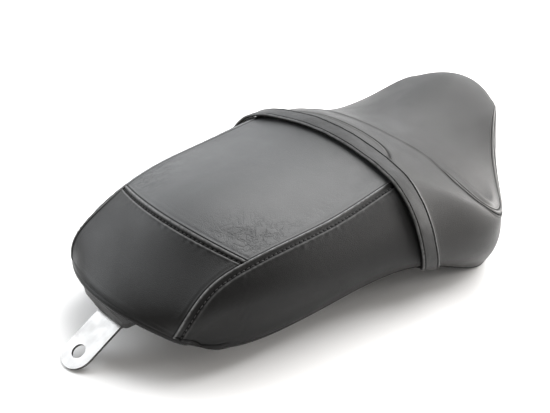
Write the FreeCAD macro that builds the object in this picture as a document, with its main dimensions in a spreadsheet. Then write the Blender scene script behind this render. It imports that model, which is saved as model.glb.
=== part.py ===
import FreeCAD, Part
import math
import os
import re

import Sketcher

# A two-up motorcycle seat: a moulded pan with its steel fixings, a foam cushion, a sewn cover in six
# panels and a grab strap. +X points forward, +Y left, +Z up, and z = 0 is the table the seat rests on.
# Bench coordinates have x = 0 near the rear hem. Every piece is then moved back by centre_x, so that
# the row's origin is at the middle of the seat's box.

DOC = FreeCAD.newDocument("motorcycle_seat")
SHEET = DOC.addObject("Spreadsheet::Sheet", "dimensions")

DIMENSIONS = [
    ("centre_x", 278.4, "bench x of the middle of the seat's box"),
    ("cover_thickness", 2.0, "cover with its thin backing"),
    ("seam_gap", 0.4, "gap between neighbouring panels"),
    ("cross_seam_place", 115.5, "place along the seat of the seam behind the pillion's top"),
    ("foam_clearance", 0.3, "gap between the foam and what it touches"),
    ("hem_inset", 3.0, "edge of the pan inside the hem of the cover"),
    ("rear_drop", 6.0, "how far the rear edge of the pan hangs below the hem"),
    ("fold_thickness", 1.5, "cover folded under the edge of the pan"),
    ("fold_reach", 14.0, "width of the fold at the two ends of the seat"),
    ("fold_share", 0.1, "width of the fold along the sides, as a share of the half section"),
    ("pan_thickness", 3.0, "wall of the pan"),
    ("rib_height", 9.0, "ribs under the pan"),
    ("rib_thickness", 2.5, "ribs under the pan"),
    ("strap_thickness", 3.6, "grab strap, two layers sewn together"),
    ("strap_gap", 2.2, "gap between the strap and the cover"),
    ("strap_rear_margin", 2.5, "rear edge of the strap ahead of its station"),
    ("strap_front_margin", 6.0, "front edge of the strap behind its station"),
    ("strap_pull", 1.4, "how much closer the strap lies at the hem and under the pan"),
    ("strap_plate_length", 20.0, "clamp plate under the end of the strap"),
    ("strap_plate_width", 16.0, "clamp plate under the end of the strap"),
    ("strap_plate_thickness", 2.0, "clamp plate under the end of the strap"),
    ("strap_plate_corner", 4.0, "corner radius of the clamp plate"),
    ("strap_screw_radius", 2.5, "M5 screw"),
    ("strap_screw_head", 5.0, "head radius of the screw"),
    ("strap_screw_head_height", 2.6, "head height of the screw"),
    ("strap_screw_length", 9.0, "shank of the screw"),
    ("bracket_width", 40.0, "steel tab at the rear"),
    ("bracket_thickness", 3.0, "steel tab at the rear"),
    ("bracket_flat", 70.0, "length that is riveted under the pan"),
    ("bracket_reach", 66.2, "length of the slope, from the bend to the tip"),
    ("bracket_slope", 32.0, "slope of the tab, degrees"),
    ("bracket_end_radius", 19.9, "rounding of the tip"),
    ("bracket_hole_radius", 8.0, "fixing hole"),
    ("bracket_hole_from_tip", 20.0, "centre of the fixing hole from the tip"),
    ("bracket_front_x", 61.0, "bench x of the end under the pan"),
    ("bracket_bend_radius", 8.0, "inside of the bend"),
    ("rivet_radius", 3.0, "rivet shank"),
    ("rivet_head_radius", 6.0, "rivet head"),
    ("rivet_head_height", 2.4, "rivet head"),
    ("rivet_hole_radius", 3.1, "rivet hole"),
    ("rivet_length", 13.0, "rivet shank"),
    ("bracket_rivet_first", 12.0, "first rivet from the end of the tab"),
    ("bracket_rivet_pitch", 23.0, "distance between rivets"),
    ("chin_half_width", 27.0, "lower face of the block that the tab is riveted to"),
    ("chin_top_half_width", 52.0, "the same block where it meets the pan"),
    ("tongue_rear_x", 520.0, "bench x of the rear end of the front tongue"),
    ("tongue_top_z", 84.0, "upper face of the front tongue"),
    ("tongue_width", 44.0, "front tongue"),
    ("tongue_thickness", 3.0, "front tongue"),
    ("tongue_flat", 55.0, "riveted length of the front tongue"),
    ("tongue_step", 8.0, "joggle of the front tongue"),
    ("tongue_nose", 30.0, "free length of the front tongue"),
    ("tongue_corner", 10.0, "corner radius of the front tongue"),
    ("tongue_rivet_first", 14.0, "first rivet from the rear end"),
    ("tongue_rivet_pitch", 26.0, "distance between rivets"),
    ("tongue_rivet_side", 13.0, "rivets either side of the centre line"),
    ("bumper_radius", 14.0, "rubber bumper"),
    ("bumper_face_radius", 12.0, "flat lower face of the bumper"),
    ("bumper_height", 16.0, "rubber bumper"),
    ("bumper_stem_radius", 4.0, "stem pressed into the pan"),
    ("bumper_stem_length", 8.0, "stem pressed into the pan"),
    ("rear_bumper_x", 118.0, "bench x of the rear pair"),
    ("rear_bumper_y", 82.0, "rear pair, either side of the centre line"),
    ("rear_bumper_top", 42.0, "seat of the rear pair"),
    ("middle_bumper_x", 290.0, "bench x of the middle pair"),
    ("middle_bumper_y", 82.0, "middle pair, either side of the centre line"),
    ("middle_bumper_top", 50.0, "seat of the middle pair"),
    ("front_bumper_x", 486.0, "bench x of the front pair"),
    ("front_bumper_y", 62.0, "front pair, either side of the centre line"),
    ("front_bumper_top", 54.0, "seat of the front pair"),
    ("boss_radius", 17.0, "boss above each bumper"),
    ("staple_width", 10.0, "staple crown"),
    ("staple_wire", 0.9, "staple wire"),
    ("staple_leg", 4.0, "staple leg"),
    ("staple_pitch", 28.0, "distance between staples"),
]

# The cover is drawn through twelve stations. Each has its place along the seat, then the half section:
# the spine on the centre line, the side seam, the waist (the fullest point of the side) and the hem.
GUIDES = ("place", "spine_x", "spine_z", "seam_x", "seam_y", "seam_z",
          "waist_x", "waist_y", "waist_z", "hem_x", "hem_y", "hem_z", "pan_z")
STATIONS = [
    ("rear_hem", (0, -22, 67, 4, 88, 54, 14, 98, 50, 25, 105, 45, 61)),
    ("rear_low", (22, -5, 80, 9, 95, 72, 24, 105, 62, 36, 110, 40, 57)),
    ("rear_high", (72, 33, 109, 45, 96, 105, 48, 114, 78, 54, 115, 36, 55)),
    ("rear_seam", (112, 64, 131, 85, 102, 119.5, 75, 123, 83, 77, 119, 33, 55)),
    ("pillion", (225, 177, 154, 193, 113, 133.5, 177, 144, 82, 183, 128, 35, 58)),
    ("strap_rear", (338, 296, 163, 292, 111, 146, 298, 163, 71, 329, 142, 36, 62)),
    ("strap_front", (372, 325, 170, 326, 116, 146, 332, 172, 65, 369, 150, 25, 62)),
    ("hip", (455, 379, 159, 419, 178, 99, 422, 189, 61, 451, 160, 0.3, 60)),
    ("dish", (512, 439, 151, 472, 148, 99, 479, 156, 75, 498, 138, 9, 62)),
    ("thigh", (572, 519, 166, 523, 98, 133, 535, 107, 98, 546, 102, 39, 76)),
    ("nose_top", (632, 591, 177, 574, 65, 158, 585, 70, 116, 589, 73, 74, 98)),
    ("nose_hem", (690, 622, 115, 616, 44, 110, 610, 54, 106, 603, 62, 98, 113)),
]

# Shares of the half section where the side seam and the waist lie, and where the strap starts to draw in.
SEAM = 0.5
WAIST = 0.75
STRAP_SLACK = 0.83
ACROSS = [-1.0, -0.917, -0.833, -0.75, -0.667, -0.583, -0.5, -0.333, -0.167, 0.0,
          0.167, 0.333, 0.5, 0.583, 0.667, 0.75, 0.833, 0.917, 1.0]


def fill_sheet():
    """Puts the dimensions and the station table in the spreadsheet, each cell with its alias."""
    row = 1
    for alias, value, meaning in DIMENSIONS:
        SHEET.set("A%d" % row, meaning)
        SHEET.set("B%d" % row, "%g" % value)
        SHEET.setAlias("B%d" % row, alias)
        row += 1
    for station, values in STATIONS:
        SHEET.set("A%d" % row, station)
        for column, (guide, value) in enumerate(zip(GUIDES, values)):
            cell = "%s%d" % (chr(ord("B") + column), row)
            SHEET.set(cell, "%g" % value)
            SHEET.setAlias(cell, "%s_%s" % (station, guide))
        row += 1
    DOC.recompute()


def size(alias):
    """A dimension from the spreadsheet."""
    return float(SHEET.get(alias))


fill_sheet()
TABLE = {guide: [size("%s_%s" % (station, guide)) for station, _ in STATIONS] for guide in GUIDES}
PLACES = TABLE["place"]
ALONG = sorted(PLACES + [(a + b) / 2 for a, b in zip(PLACES, PLACES[1:])])
END = PLACES[-1]
STATION_PLACE = {station: PLACES[i] for i, (station, _) in enumerate(STATIONS)}


# ---------------------------------------------------------------- the shape of the cover and the pan


def bends(values):
    """Second derivatives at the stations of the natural cubic spline through the values."""
    count = len(values)
    ratio = [0.0] * count
    bend = [0.0] * count
    for i in range(1, count - 1):
        before = PLACES[i] - PLACES[i - 1]
        after = PLACES[i + 1] - PLACES[i]
        kink = (values[i + 1] - values[i]) / after - (values[i] - values[i - 1]) / before
        pivot = 2 * (before + after) - before * ratio[i - 1]
        ratio[i] = after / pivot
        bend[i] = (6 * kink - before * bend[i - 1]) / pivot
    for i in range(count - 2, 0, -1):
        bend[i] -= ratio[i] * bend[i + 1]
    return bend


BENDS = {guide: bends(TABLE[guide]) for guide in GUIDES}


def guide_at(guide, along):
    """Value of a guide curve at a place along the seat."""
    i = 0
    while i < len(PLACES) - 2 and along > PLACES[i + 1]:
        i += 1
    step = PLACES[i + 1] - PLACES[i]
    after = (along - PLACES[i]) / step
    before = 1 - after
    values = TABLE[guide]
    bend = BENDS[guide]
    curve = (before ** 3 - before) * bend[i] + (after ** 3 - after) * bend[i + 1]
    return before * values[i] + after * values[i + 1] + curve * step * step / 6


def hermite(start, start_slope, end, end_slope, share):
    """Cubic between two points with a slope at each."""
    square = share * share
    cube = square * share
    return (
        start * (2 * cube - 3 * square + 1)
        + start_slope * (cube - 2 * square + share)
        + end * (3 * square - 2 * cube)
        + end_slope * (cube - square)
    )


def cover_point(along, across):
    """Point on the outside of the cover. across runs from -1, the right hem, to 1, the left hem."""
    spine = FreeCAD.Vector(guide_at("spine_x", along), 0, guide_at("spine_z", along))
    seam, waist, hem = (
        FreeCAD.Vector(*[guide_at("%s_%s" % (line, axis), along) for axis in "xyz"])
        for line in ("seam", "waist", "hem")
    )
    out = abs(across)
    if out <= SEAM:
        share = out / SEAM
        point = spine + (seam - spine) * share * share
        point.y = seam.y * share
    else:
        top_slope = (seam - spine) * 2
        top_slope.y = seam.y
        top_slope = top_slope.normalize() * (waist - seam).Length
        side_slope = (hem - seam) * 0.5
        side_slope.y = 0
        if out <= WAIST:
            point = hermite(seam, top_slope, waist, side_slope, (out - SEAM) / (WAIST - SEAM))
        else:
            hem_slope = hem - waist
            hem_slope.y *= 1.6
            point = hermite(waist, side_slope, hem, hem_slope, (out - WAIST) / (1 - WAIST))
    if across < 0:
        point.y = -point.y
    return point


def underside_point(along, across):
    """Point on the underside of the seat, where the fold of the cover lies under the pan."""
    edge = cover_point(along, 1.0)
    rise = (1 - across ** 4) ** 2
    point = FreeCAD.Vector(
        edge.x,
        (edge.y - size("hem_inset")) * across,
        edge.z + (guide_at("pan_z", along) - edge.z) * rise,
    )
    end_reach = 180.0
    for end, edge_place, inward in ((along, 0.0, 1), (END - along, END, -1)):
        weight = max(0.0, 1 - end / end_reach) ** 3
        if weight > 0:
            corner = cover_point(edge_place, 1.0)
            lip = cover_point(edge_place, across)
            lip_rise = (guide_at("pan_z", edge_place) - corner.z) * rise
            drop = size("rear_drop") * (1 - across * across) if inward > 0 else 0.0
            shift = FreeCAD.Vector(
                lip.x - corner.x + size("hem_inset") * inward,
                lip.y - corner.y * across,
                lip.z - corner.z - lip_rise - drop,
            )
            point += shift * weight
    return point


def normal_at(surface, along, across):
    """Unit vector that points out of the seat's top, or up from its underside."""
    step_along = 0.5
    step_across = 0.004
    low, high = max(0.0, along - step_along), min(END, along + step_along)
    right, left = max(-1.0, across - step_across), min(1.0, across + step_across)
    forward = surface(high, across) - surface(low, across)
    sideways = surface(along, left) - surface(along, right)
    return forward.cross(sideways).normalize()


def layer(surface, height, along_values=None, across_values=None):
    """B-spline surface at a constant height above the cover or the underside."""
    along_values = along_values or ALONG
    across_values = across_values or ACROSS
    grid = []
    for along in along_values:
        row = [surface(along, x) + normal_at(surface, along, x) * height for x in across_values]
        grid.append(row)
    return surface_through(grid, along_values, across_values)


def surface_through(grid, along_values, across_values):
    """Bicubic surface through a grid of points, with the given values as its parameters."""
    rows = []
    for points in grid:
        curve = Part.BSplineCurve()
        curve.interpolate(Points=points, Parameters=across_values)
        rows.append(curve)
    columns = []
    for j in range(rows[0].NbPoles):
        curve = Part.BSplineCurve()
        curve.interpolate(Points=[row.getPole(j + 1) for row in rows], Parameters=along_values)
        columns.append(curve)
    poles = [[column.getPole(i + 1) for column in columns] for i in range(columns[0].NbPoles)]
    surface = Part.BSplineSurface()
    surface.buildFromPolesMultsKnots(
        poles,
        columns[0].getMultiplicities(),
        rows[0].getMultiplicities(),
        columns[0].getKnots(),
        rows[0].getKnots(),
        False,
        False,
        columns[0].Degree,
        rows[0].Degree,
    )
    return surface


def wall_between(lines, start, end):
    """Ruled face between the same stretch of two lines."""
    for line in lines:
        line.segment(start, end)
    wall = Part.BSplineSurface()
    wall.buildFromPolesMultsKnots(
        [line.getPoles() for line in lines],
        [2, 2],
        lines[0].getMultiplicities(),
        [0, 1],
        lines[0].getKnots(),
        False,
        False,
        1,
        lines[0].Degree,
    )
    return wall.toShape()


def sheet_solid(upper, lower, cells):
    """Closed solid between two layers over cells (along from, to, across from, to)."""
    faces = []
    rims = {}
    for low, high, right, left in cells:
        faces.append(upper.toShape(low, high, right, left))
        faces.append(lower.toShape(low, high, right, left))
        for rim in ((0, low, right, left), (0, high, right, left),
                    (1, right, low, high), (1, left, low, high)):
            rims[rim] = rims.get(rim, 0) + 1
    for (is_lengthwise, fixed, start, end), uses in rims.items():
        if uses == 1:
            lines = [s.vIso(fixed) if is_lengthwise else s.uIso(fixed) for s in (upper, lower)]
            faces.append(wall_between(lines, start, end))
    shell = Part.Shell(faces)
    shell.sewShape()
    solid = Part.Solid(shell)
    if solid.Volume < 0:
        solid.reverse()
    return solid


def placed(shape, origin, x_axis, z_axis):
    """Copy of a shape with its own origin, x axis and z axis put at the given ones."""
    turn = FreeCAD.Rotation(x_axis, z_axis.cross(x_axis), z_axis, "ZXY")
    copy = shape.copy()
    copy.Placement = FreeCAD.Placement(origin, turn)
    return copy


def add_feature(label, shape):
    """Document object for a shape that is made from the station table."""
    feature = DOC.addObject("Part::Feature", label)
    feature.Label = label
    feature.Shape = shape
    feature.Placement = FreeCAD.Placement(BENCH_TO_ROW, FreeCAD.Rotation())
    return feature


BENCH_TO_ROW = FreeCAD.Vector(-size("centre_x"), 0, 0)
UP = FreeCAD.Vector(0, 0, 1)

SEAM_PLAY = size("seam_gap") / 2
SEAM_SHARE = SEAM_PLAY / 220
STRAP_SPAN = (
    STATION_PLACE["strap_rear"] + size("strap_rear_margin"),
    STATION_PLACE["strap_front"] - size("strap_front_margin"),
)
BAND_PLACE = (STRAP_SPAN[0] + STRAP_SPAN[1]) / 2

BRACKET_TOP = (
    size("bracket_reach") * math.sin(math.radians(size("bracket_slope")))
    + size("bracket_thickness") * math.cos(math.radians(size("bracket_slope")))
)

PAN_BASE = size("fold_thickness") + 0.2
PAN_TOP = PAN_BASE + size("pan_thickness")


# ---------------------------------------------------------------- cover, foam and strap


def make_cover_panels():
    """Six sewn panels: rear, pillion top, two sides, the hip panel and the rider's top."""
    outer = layer(cover_point, 0.0)
    inner = layer(cover_point, -size("cover_thickness"))
    rear = size("cross_seam_place")
    hip = STATION_PLACE["hip"]
    play = SEAM_PLAY
    edge = SEAM + SEAM_SHARE
    top = SEAM - SEAM_SHARE
    band = (BAND_PLACE + play, hip - play)
    panels = {
        "rear_panel": [(0.0, rear - play, -top, top)],
        "pillion_top_panel": [(rear + play, BAND_PLACE - play, -top, top)],
        "left_side_panel": [(0.0, BAND_PLACE - play, edge, 1.0)],
        "right_side_panel": [(0.0, BAND_PLACE - play, -1.0, -edge)],
        "hip_panel": [
            band + (-1.0, -edge),
            band + (-edge, edge),
            band + (edge, 1.0),
            (band[1], END, -1.0, -edge),
            (band[1], END, edge, 1.0),
        ],
        "rider_top_panel": [(hip + play, END, -top, top)],
    }
    return [add_feature(name, sheet_solid(outer, inner, cells)) for name, cells in panels.items()]


def make_cover_fold():
    """Edge of the cover, folded under the pan all the way round."""
    lower = layer(underside_point, 0.0)
    upper = layer(underside_point, size("fold_thickness"))
    inner = 1 - size("fold_share")
    reach = size("fold_reach")
    rows = [(0.0, reach), (reach, END - reach), (END - reach, END)]
    cells = [rows[0] + (-inner, inner), rows[2] + (-inner, inner)]
    for row in rows:
        cells += [row + (-1.0, -inner), row + (inner, 1.0)]
    return add_feature("cover_hem_fold", sheet_solid(upper, lower, cells).cut(strap_holes()))


def make_foam():
    """Foam between the inside of the cover and the top of the pan."""
    top = layer(cover_point, -size("cover_thickness") - size("foam_clearance"))
    bottom = layer(underside_point, PAN_TOP + size("foam_clearance"))
    return add_feature("foam_cushion", sheet_solid(top, bottom, [(0.0, END, -1.0, 1.0)]))


def strap_section(along, height):
    """Points of the strap at a height above the cover: over the seat, round both hems and under the pan."""
    tucks = (0.96, 0.88, 0.8)
    pull = size("strap_pull")
    over = []
    for x in ACROSS:
        closer = pull * max(0.0, (abs(x) - STRAP_SLACK) / (1 - STRAP_SLACK))
        over.append(cover_point(along, x) + normal_at(cover_point, along, x) * (height - closer))
    height -= pull
    ends = []
    for side in (1, -1):
        hem = cover_point(along, side)
        below = normal_at(underside_point, along, side) * -1
        outward = normal_at(cover_point, along, side)
        corner = [hem + (outward + below).normalize() * height]
        under = [
            underside_point(along, side * x) + normal_at(underside_point, along, side * x) * -height
            for x in tucks
        ]
        ends.append(corner + under)
    return ends[1][::-1] + over + ends[0]


def make_strap():
    """Grab strap across the seat, its ends tucked under the pan."""
    first, last = STRAP_SPAN
    places = [first, (first + last) / 2, last]
    surfaces = []
    for height in (size("strap_gap") + size("strap_thickness"), size("strap_gap")):
        grid = [strap_section(place, height) for place in places]
        middle = grid[1]
        girth = [0.0]
        for a, b in zip(middle, middle[1:]):
            girth.append(girth[-1] + a.distanceToPoint(b))
        shares = [g / girth[-1] for g in girth]
        surfaces.append((grid, shares))
    shares = surfaces[0][1]
    upper, lower = (surface_through(grid, places, shares) for grid, _ in surfaces)
    solid = sheet_solid(upper, lower, [(first, last, 0.0, 1.0)])
    return add_feature("grab_strap", solid.cut(strap_holes()))


def strap_fixing(side):
    """Point under the end of the strap, its forward direction and the direction up through the pan."""
    share = 0.87 * side
    up = normal_at(underside_point, BAND_PLACE, share)
    forward = FreeCAD.Vector(1, 0, 0)
    forward = (forward - up * forward.dot(up)).normalize()
    below = size("strap_gap") - size("strap_pull") + size("strap_thickness") + 0.2
    return underside_point(BAND_PLACE, share) - up * below, forward, up


def strap_holes():
    """Screw holes through the strap's ends, the fold and the pan."""
    holes = []
    for side in (1, -1):
        origin, _, up = strap_fixing(side)
        hole = Part.makeCylinder(size("strap_screw_radius") + 0.1, 30, origin - up * 5, up)
        holes.append(hole)
    return Part.makeCompound(holes)


# ---------------------------------------------------------------- sketched pieces


def new_body(name):
    return DOC.addObject("PartDesign::Body", name)


def draw_outline(body, name, role, corners):
    """Closed outline on an origin plane. Each corner is a pair of expressions in the sheet's aliases."""
    sketch = body.newObject("Sketcher::SketchObject", name)
    plane = next(f for f in body.Origin.OriginFeatures if f.Role == role)
    sketch.AttachmentSupport = [(plane, "")]
    sketch.MapMode = "FlatFace"
    count = len(corners)
    ring = []
    for i in range(count):
        angle = 2 * math.pi * i / count
        ring.append(FreeCAD.Vector(60 + 50 * math.cos(angle), 60 + 50 * math.sin(angle), 0))
    for i in range(count):
        sketch.addGeometry(Part.LineSegment(ring[i], ring[(i + 1) % count]), False)
    for i in range(count):
        sketch.addConstraint(Sketcher.Constraint("Coincident", i, 2, (i + 1) % count, 1))
    for i, corner in enumerate(corners):
        for kind, start, expression in zip(("DistanceX", "DistanceY"), ring[i][:2], corner):
            index = sketch.addConstraint(Sketcher.Constraint(kind, -1, 1, i, 1, start))
            sketch.setExpression("Constraints[%d]" % index, in_sheet(expression))
    DOC.recompute()
    return sketch


def draw_circles(body, name, centres, radius):
    """Circles on the body's XY plane, their centres and radius given as expressions."""
    sketch = body.newObject("Sketcher::SketchObject", name)
    plane = next(f for f in body.Origin.OriginFeatures if f.Role == "XY_Plane")
    sketch.AttachmentSupport = [(plane, "")]
    sketch.MapMode = "FlatFace"
    for i, centre in enumerate(centres):
        start = FreeCAD.Vector(20.0 * i + 10, 10, 0)
        sketch.addGeometry(Part.Circle(start, UP, 3), False)
        for kind, value, expression in zip(("DistanceX", "DistanceY"), start[:2], centre):
            index = sketch.addConstraint(Sketcher.Constraint(kind, -1, 1, i, 3, value))
            sketch.setExpression("Constraints[%d]" % index, in_sheet(expression))
        index = sketch.addConstraint(Sketcher.Constraint("Radius", i, 3.0))
        sketch.setExpression("Constraints[%d]" % index, in_sheet(radius))
    DOC.recompute()
    return sketch


ALIASES = [alias for alias, _, _ in DIMENSIONS]


def in_sheet(expression):
    """The expression with each alias named as a cell of the sheet."""

    def named(match):
        word = match.group()
        return "dimensions." + word if word in ALIASES else word

    return re.sub("[a-z_]+", named, expression)


def pad(body, sketch, width):
    """Symmetric pad of a profile."""
    feature = body.newObject("PartDesign::Pad", sketch.Name + "_pad")
    feature.Profile = sketch
    feature.Midplane = True
    feature.setExpression("Length", in_sheet(width))
    DOC.recompute()
    return feature


def pierce(body, sketch):
    """Cut of a sketch right through the body, with a check that it removes something."""
    before = body.Shape.Volume
    feature = body.newObject("PartDesign::Pocket", sketch.Name + "_pocket")
    feature.Profile = sketch
    feature.Type = "ThroughAll"
    feature.Midplane = True
    DOC.recompute()
    if body.Shape.Volume >= before:
        raise RuntimeError("%s cuts nothing" % feature.Name)
    return feature


def round_edges(body, name, radius, wanted):
    """Fillet of the edges that wanted() picks by their middle point and direction."""
    base = body.Tip
    edges = []
    for i, edge in enumerate(base.Shape.Edges):
        line = edge.lastVertex().Point - edge.firstVertex().Point
        if line.Length > 0 and wanted(edge.CenterOfMass, line.normalize()):
            edges.append("Edge%d" % (i + 1))
    feature = body.newObject("PartDesign::Fillet", name)
    feature.Base = (base, edges)
    feature.setExpression("Radius", in_sheet(radius))
    DOC.recompute()
    return feature


def revolve(body, sketch):
    """Full turn of a profile about the sketch's vertical axis."""
    feature = body.newObject("PartDesign::Revolution", sketch.Name + "_turned")
    feature.Profile = sketch
    feature.ReferenceAxis = (sketch, ["V_Axis"])
    feature.Angle = 360
    DOC.recompute()
    return feature


def settle(piece, label, point, turn=FreeCAD.Rotation()):
    """Names a piece and puts it at a bench point."""
    piece.Label = label
    piece.Placement = FreeCAD.Placement(point + BENCH_TO_ROW, turn)
    return piece


def group(label, pieces):
    """One node that holds several separate solids."""
    compound = DOC.addObject("Part::Compound", label)
    compound.Links = pieces
    compound.Label = label
    DOC.recompute()
    return compound


def make_bracket():
    """Steel tab: riveted flat under the pan, then sloping down to a rounded tip with the fixing hole."""
    body = new_body("bracket_strip")
    drop = "bracket_reach * sin(bracket_slope)"
    top = drop + " + bracket_thickness * cos(bracket_slope)"
    tip_x = "bracket_flat + bracket_reach * cos(bracket_slope)"
    profile = draw_outline(
        body,
        "bracket_profile",
        "XZ_Plane",
        [
            ("0", top),
            ("bracket_flat", top),
            (tip_x, "bracket_thickness * cos(bracket_slope)"),
            (tip_x + " - bracket_thickness * sin(bracket_slope)", "0"),
            (
                "bracket_flat - bracket_thickness * tan(bracket_slope / 2)",
                top + " - bracket_thickness",
            ),
            ("0", top + " - bracket_thickness"),
        ],
    )
    pad(body, profile, "bracket_width")
    holes = draw_circles(body, "bracket_rivet_holes", rivet_row(3), "rivet_hole_radius")
    pierce(body, holes)
    thickness = size("bracket_thickness")
    slope = math.radians(size("bracket_slope"))
    bend_x = size("bracket_flat")

    def at_top_bend(middle, line):
        near = abs(middle.x - bend_x) < 0.1 and abs(middle.z - BRACKET_TOP) < 0.1
        return near and abs(line.y) > 0.9

    def at_lower_bend(middle, line):
        return abs(line.y) > 0.9 and 0.1 < bend_x - middle.x < 2 and middle.z < BRACKET_TOP - thickness / 2

    def at_tip_corner(middle, line):
        return abs(line.y) < 0.1 and middle.x > bend_x + 20 and abs(line.dot(
            FreeCAD.Vector(math.sin(slope), 0, math.cos(slope)))) > 0.99

    round_edges(body, "bracket_bend_top", "bracket_bend_radius + bracket_thickness", at_top_bend)
    round_edges(body, "bracket_bend_under", "bracket_bend_radius", at_lower_bend)
    round_edges(body, "bracket_tip_round", "bracket_end_radius", at_tip_corner)

    hole = DOC.addObject("Part::Cylinder", "bracket_fixing_hole")
    hole.setExpression("Radius", in_sheet("bracket_hole_radius"))
    hole.setExpression("Height", in_sheet("bracket_thickness * 4"))
    down = size("bracket_reach") - size("bracket_hole_from_tip")
    normal = FreeCAD.Vector(math.sin(slope), 0, math.cos(slope))
    centre = FreeCAD.Vector(
        bend_x + down * math.cos(slope), 0, BRACKET_TOP - down * math.sin(slope)
    )
    turn = FreeCAD.Rotation(UP, normal)
    hole.Placement = FreeCAD.Placement(centre - normal * thickness * 2, turn)
    cut = DOC.addObject("Part::Cut", "rear_bracket")
    cut.Base = body
    cut.Tool = hole
    DOC.recompute()
    point = FreeCAD.Vector(size("bracket_front_x"), 0, 0)
    return settle(cut, "rear_bracket", point, FreeCAD.Rotation(UP, 180))


def rivet_row(count):
    """Centres of the rivets along the tab, from its end under the pan."""
    return [("bracket_rivet_first + %d * bracket_rivet_pitch" % i, "0") for i in range(count)]


def make_rivet(name, point):
    """Round-headed rivet, its head below the point and its shank above."""
    body = new_body(name)
    profile = draw_outline(
        body,
        name + "_profile",
        "XZ_Plane",
        [
            ("0", "0"),
            ("rivet_head_radius * 0.6", "0"),
            ("rivet_head_radius * 0.9", "rivet_head_height * 0.4"),
            ("rivet_head_radius", "rivet_head_height"),
            ("rivet_radius", "rivet_head_height"),
            ("rivet_radius", "rivet_head_height + rivet_length"),
            ("0", "rivet_head_height + rivet_length"),
        ],
    )
    revolve(body, profile)
    return settle(body, name, point - UP * size("rivet_head_height"))


def bracket_rivet_points():
    z = BRACKET_TOP - size("bracket_thickness")
    first = size("bracket_front_x") - size("bracket_rivet_first")
    return [FreeCAD.Vector(first - i * size("bracket_rivet_pitch"), 0, z) for i in range(3)]


def tongue_rivet_points():
    z = size("tongue_top_z") - size("tongue_thickness")
    first = size("tongue_rear_x") + size("tongue_rivet_first")
    points = []
    for i in range(2):
        for side in (1, -1):
            x = first + i * size("tongue_rivet_pitch")
            points.append(FreeCAD.Vector(x, side * size("tongue_rivet_side"), z))
    return points


def make_tongue():
    """Steel tongue under the nose that hooks below the bracket behind the tank."""
    body = new_body("front_tongue")
    corners = [
        ("0", "tongue_top_z"),
        ("tongue_flat", "tongue_top_z"),
        ("tongue_flat + tongue_step", "tongue_top_z - tongue_step"),
        ("tongue_flat + tongue_step + tongue_nose", "tongue_top_z - tongue_step"),
        (
            "tongue_flat + tongue_step + tongue_nose",
            "tongue_top_z - tongue_step - tongue_thickness",
        ),
        (
            "tongue_flat + tongue_step - tongue_thickness * tan(22.5)",
            "tongue_top_z - tongue_step - tongue_thickness",
        ),
        ("tongue_flat - tongue_thickness * tan(22.5)", "tongue_top_z - tongue_thickness"),
        ("0", "tongue_top_z - tongue_thickness"),
    ]
    profile = draw_outline(body, "tongue_profile", "XZ_Plane", corners)
    pad(body, profile, "tongue_width")
    centres = []
    for i in range(2):
        for side in ("", "-"):
            x = "tongue_rivet_first + %d * tongue_rivet_pitch" % i
            centres.append((x, "%s 1 * tongue_rivet_side" % side))
    holes = draw_circles(body, "tongue_rivet_holes", centres, "rivet_hole_radius")
    pierce(body, holes)
    front = size("tongue_flat") + size("tongue_step") + size("tongue_nose")

    def at_front_corner(middle, line):
        return abs(line.z) > 0.9 and (middle.x > front - 0.1 or middle.x < 0.1)

    round_edges(body, "tongue_corners", "tongue_corner", at_front_corner)
    return settle(body, "front_tongue", FreeCAD.Vector(size("tongue_rear_x"), 0, 0))


def make_rivets():
    """The rivets of the tab and of the tongue, each set one node."""
    nodes = []
    for label, points in (
        ("bracket_rivets", bracket_rivet_points()),
        ("tongue_rivets", tongue_rivet_points()),
    ):
        name = label[:-1] + "_%d"
        nodes.append(group(label, [make_rivet(name % i, p) for i, p in enumerate(points)]))
    return nodes


def bumper_spots():
    """Name and top centre of each rubber bumper."""
    spots = []
    for pair in ("rear", "middle", "front"):
        x, y, z = (size("%s_bumper_%s" % (pair, end)) for end in ("x", "y", "top"))
        spots.append(("%s_left_bumper" % pair, FreeCAD.Vector(x, y, z)))
        spots.append(("%s_right_bumper" % pair, FreeCAD.Vector(x, -y, z)))
    return spots


def make_bumper(name, top):
    """Rubber bumper with a flat lower face and a stem that is pressed into the pan."""
    body = new_body(name)
    profile = draw_outline(
        body,
        name + "_profile",
        "XZ_Plane",
        [
            ("0", "0"),
            ("bumper_face_radius", "0"),
            ("bumper_radius", "bumper_radius - bumper_face_radius"),
            ("bumper_radius", "bumper_height - 1"),
            ("bumper_radius - 1", "bumper_height"),
            ("bumper_stem_radius", "bumper_height"),
            ("bumper_stem_radius", "bumper_height + bumper_stem_length"),
            ("0", "bumper_height + bumper_stem_length"),
        ],
    )
    revolve(body, profile)
    return settle(body, name, top - UP * size("bumper_height"))


def make_strap_plate(name, side):
    """Clamp plate under the end of the strap."""
    body = new_body(name)
    half_length = "strap_plate_length / 2"
    half_width = "strap_plate_width / 2"
    corners = [
        ("- " + half_length, "- " + half_width),
        (half_length, "- " + half_width),
        (half_length, half_width),
        ("- " + half_length, half_width),
    ]
    profile = draw_outline(body, name + "_profile", "XY_Plane", corners)
    pad(body, profile, "strap_plate_thickness")
    hole = draw_circles(body, name + "_hole", [("0", "0")], "strap_screw_radius + 0.1")
    pierce(body, hole)
    round_edges(body, name + "_corners", "strap_plate_corner",
                lambda middle, line: abs(line.z) > 0.9)
    origin, forward, up = strap_fixing(side)
    turn = FreeCAD.Rotation(forward, up.cross(forward), up, "ZXY")
    return settle(body, name, origin - up * size("strap_plate_thickness") / 2, turn)


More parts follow.
